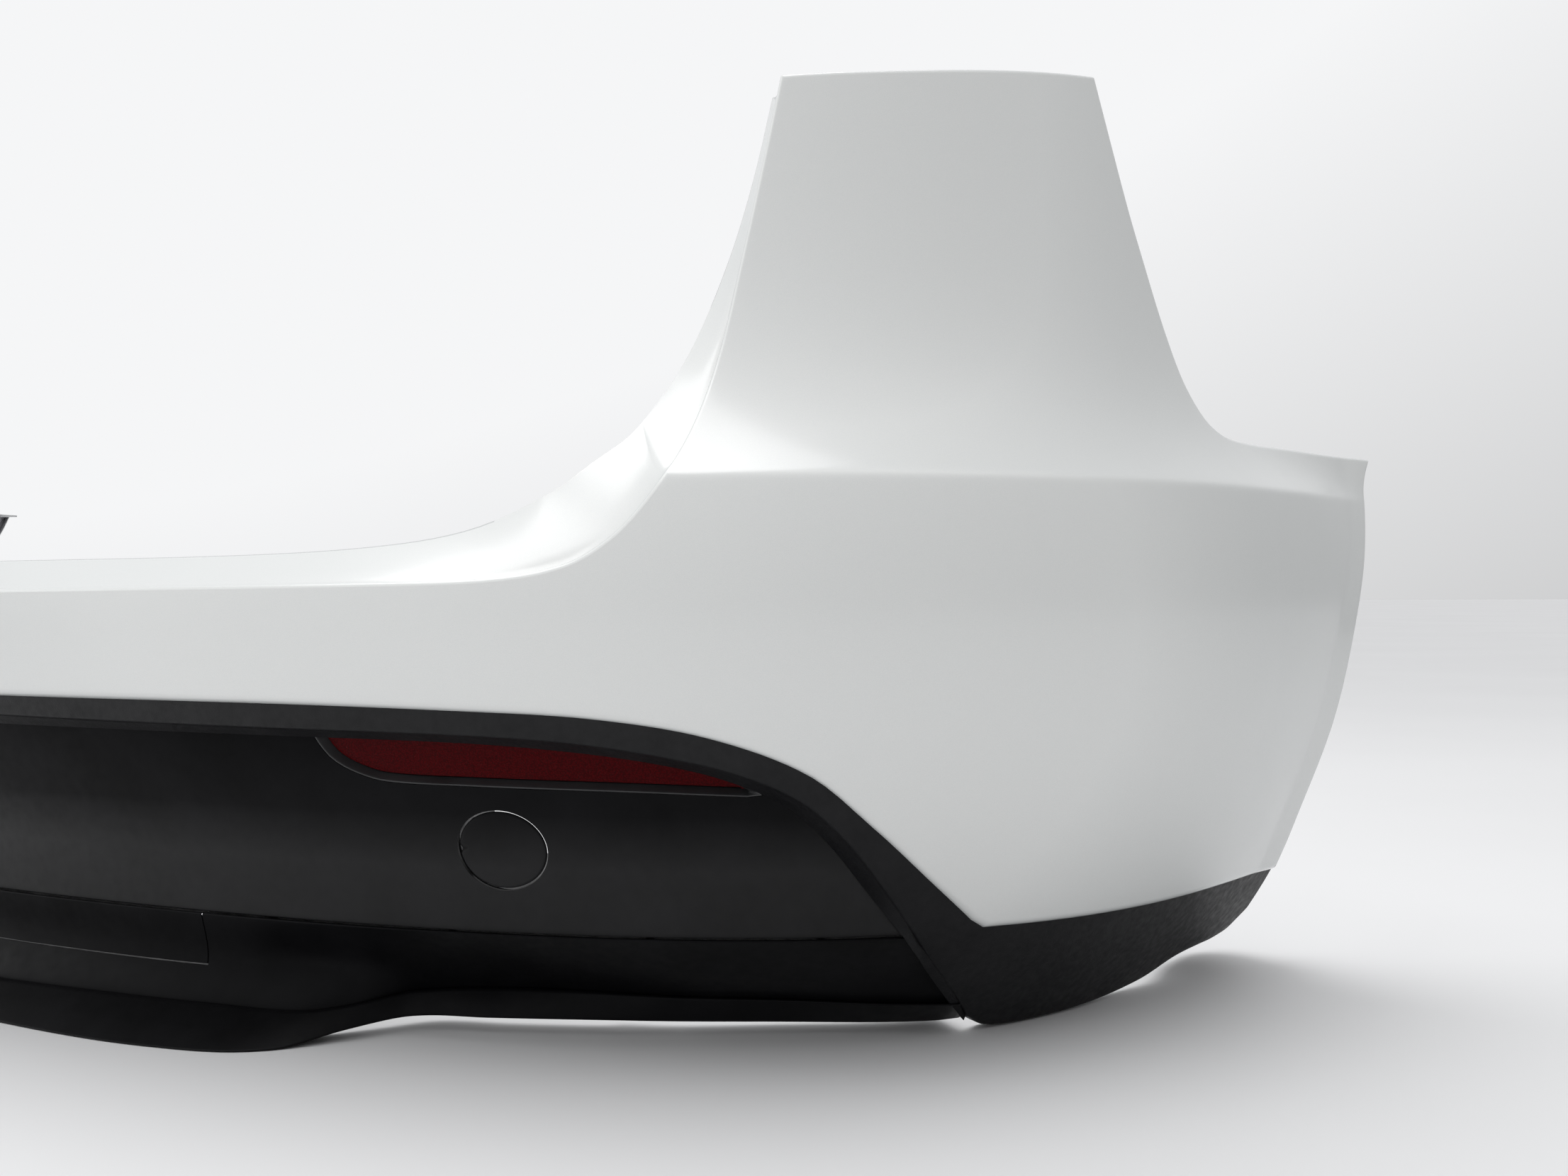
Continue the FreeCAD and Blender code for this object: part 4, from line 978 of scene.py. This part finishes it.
PEARL = pearl_paint()
GRAINED = grained_black()
SATIN = valance_black()
RED = reflector_red()
HOUSING = plain_black("housing_black", 0.36)
# The lining is a pale grey, lighter than the dark raw plastic: painted fill light for the shaded inside
# of the skin.
RAW = plain_black("raw_plastic", 0.55, 0.30, 1.12)
NYLON = plain_black("nylon", 0.4, 0.03)
BRACKET_STEEL = zinc("coated_steel", (0.62, 0.63, 0.64), 0.42)
SCREW_STEEL = zinc("screw_steel", (0.60, 0.60, 0.61), 0.30)

# ---------------------------------------------------------------- the pieces

make_piece("skin", skin_sheet(), PEARL, "cover", "bumper_skin",
           wall=SKIN_WALL, bevel=0.5, mirror=True, lining=RAW)
make_piece("surround", surround_sheet(), GRAINED, "cover", "lower_surround",
           wall=SURROUND_WALL, bevel=0.4, mirror=True)
make_piece("valance", valance_sheet(), SATIN, "cover", "valance_panel",
           wall=PANEL_WALL, bevel=0.7, mirror=True, cutters=valance_cutters())
make_piece("lower_panel", lower_valance_sheet(), SATIN, "cover", "lower_valance",
           wall=PANEL_WALL, bevel=0.7, mirror=True)
make_piece("hitch_panel_face", hitch_cover_sheet(), SATIN, "hitch_panel", "hitch_cover",
           wall=COVER_WALL, bevel=0.7, mirror=True)
make_piece("lip", lip_sheet(), SATIN, "cover", "diffuser_lip", mirror=True)
make_piece("tow_cover_disc", tow_cover_sheet(), SATIN, "tow_cover", "tow_eye_cover")
for side, suffix in ((-1, "left"), (1, "right")):
    make_piece("lens_" + suffix, lens_sheet(side), RED, "cover", "reflector_lens_" + suffix,
               wall=LENS_WALL, bevel=0.6)
    make_piece("pocket_" + suffix, housing_sheet(side), HOUSING, "cover",
               "reflector_housing_" + suffix, wall=POCKET_WALL)

CAD_FINISH = {"tow_eye_sleeve": (HOUSING, "housing_black"), "centre_support": (HOUSING, "housing_black"),
              "hitch_cover_clips": (NYLON, "nylon"), "push_pins": (NYLON, "nylon"),
              "lip_screws": (SCREW_STEEL, "screw_steel"), "quarter_screws": (SCREW_STEEL, "screw_steel"),
              "speed_nuts": (BRACKET_STEEL, "coated_steel")}
for kind in ("lamp_bracket", "quarter_bracket", "lip_brace", "corner_bracket"):
    for suffix in ("left", "right"):
        CAD_FINISH[f"{kind}_{suffix}"] = (BRACKET_STEEL, "coated_steel")
for node, (material, slot) in CAD_FINISH.items():
    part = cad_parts[node]
    part.data.materials.clear()
    part.data.materials.append(material)

# ---------------------------------------------------------------- floor, light and camera

ground = bpy.data.meshes.new("ground")
ground.from_pydata([(-40, -40, 0), (40, -40, 0), (40, 40, 0), (-40, 40, 0)], [], [(0, 1, 2, 3)])
floor = bpy.data.objects.new("floor", ground)
floor.location.z = -0.0005
bpy.context.scene.collection.objects.link(floor)
ground.materials.append(studio_grey("floor_grey", (0.80, 0.80, 0.805)))

world = bpy.data.worlds.new("studio")
bpy.context.scene.world = world
world.use_nodes = True
background = world.node_tree.nodes["Background"]
directions = world.node_tree.nodes.new("ShaderNodeTexCoord")
weigh = world.node_tree.nodes.new("ShaderNodeVectorMath")
weigh.operation = "DOT_PRODUCT"
weigh.inputs[1].default_value = (-0.46, 0.16, 0.88)
shade = world.node_tree.nodes.new("ShaderNodeMapRange")
shade.inputs["From Min"].default_value = -0.43
shade.inputs["From Max"].default_value = 0.50
shade.inputs["To Min"].default_value = 0.13
shade.inputs["To Max"].default_value = 0.93
world.node_tree.links.new(directions.outputs["Generated"], weigh.inputs[0])
world.node_tree.links.new(weigh.outputs["Value"], shade.inputs["Value"])
world.node_tree.links.new(shade.outputs["Result"], background.inputs["Strength"])
background.inputs["Color"].default_value = (0.985, 0.99, 1.0, 1.0)


def soft_light(name, position, target, size, power):
    light = bpy.data.lights.new(name, "AREA")
    light.shape = "RECTANGLE"
    light.size, light.size_y = size
    light.energy = power
    lamp = bpy.data.objects.new(name, light)
    lamp.location = position
    away = Vector(target) - Vector(position)
    lamp.rotation_euler = away.to_track_quat("-Z", "Y").to_euler()
    bpy.context.scene.collection.objects.link(lamp)


soft_light("overhead", (-0.3, -0.1, 2.8), (0.3, -0.1, 0.4), (2.8, 2.0), 38.0)
soft_light("side_fill", (-2.6, -1.8, 1.6), (0.0, -0.2, 0.3), (1.6, 1.6), 6.0)

CAMERA_PLACE = (1.1586, -1.15647, 0.3324)
CAMERA_TURN, CAMERA_TILT, CAMERA_ROLL = 27.9, 0.05, 0.31
lens = bpy.data.cameras.new("camera")
lens.sensor_width = 36.0
lens.lens = 36.13
lens.clip_start = 0.02
lens.clip_end = 200.0
camera = bpy.data.objects.new("camera", lens)
camera.location = CAMERA_PLACE
camera.rotation_euler = [math.radians(turn) for turn in (90 + CAMERA_TILT, CAMERA_ROLL, CAMERA_TURN)]
bpy.context.scene.collection.objects.link(camera)
bpy.context.scene.camera = camera
bpy.context.scene.view_settings.view_transform = "Standard"
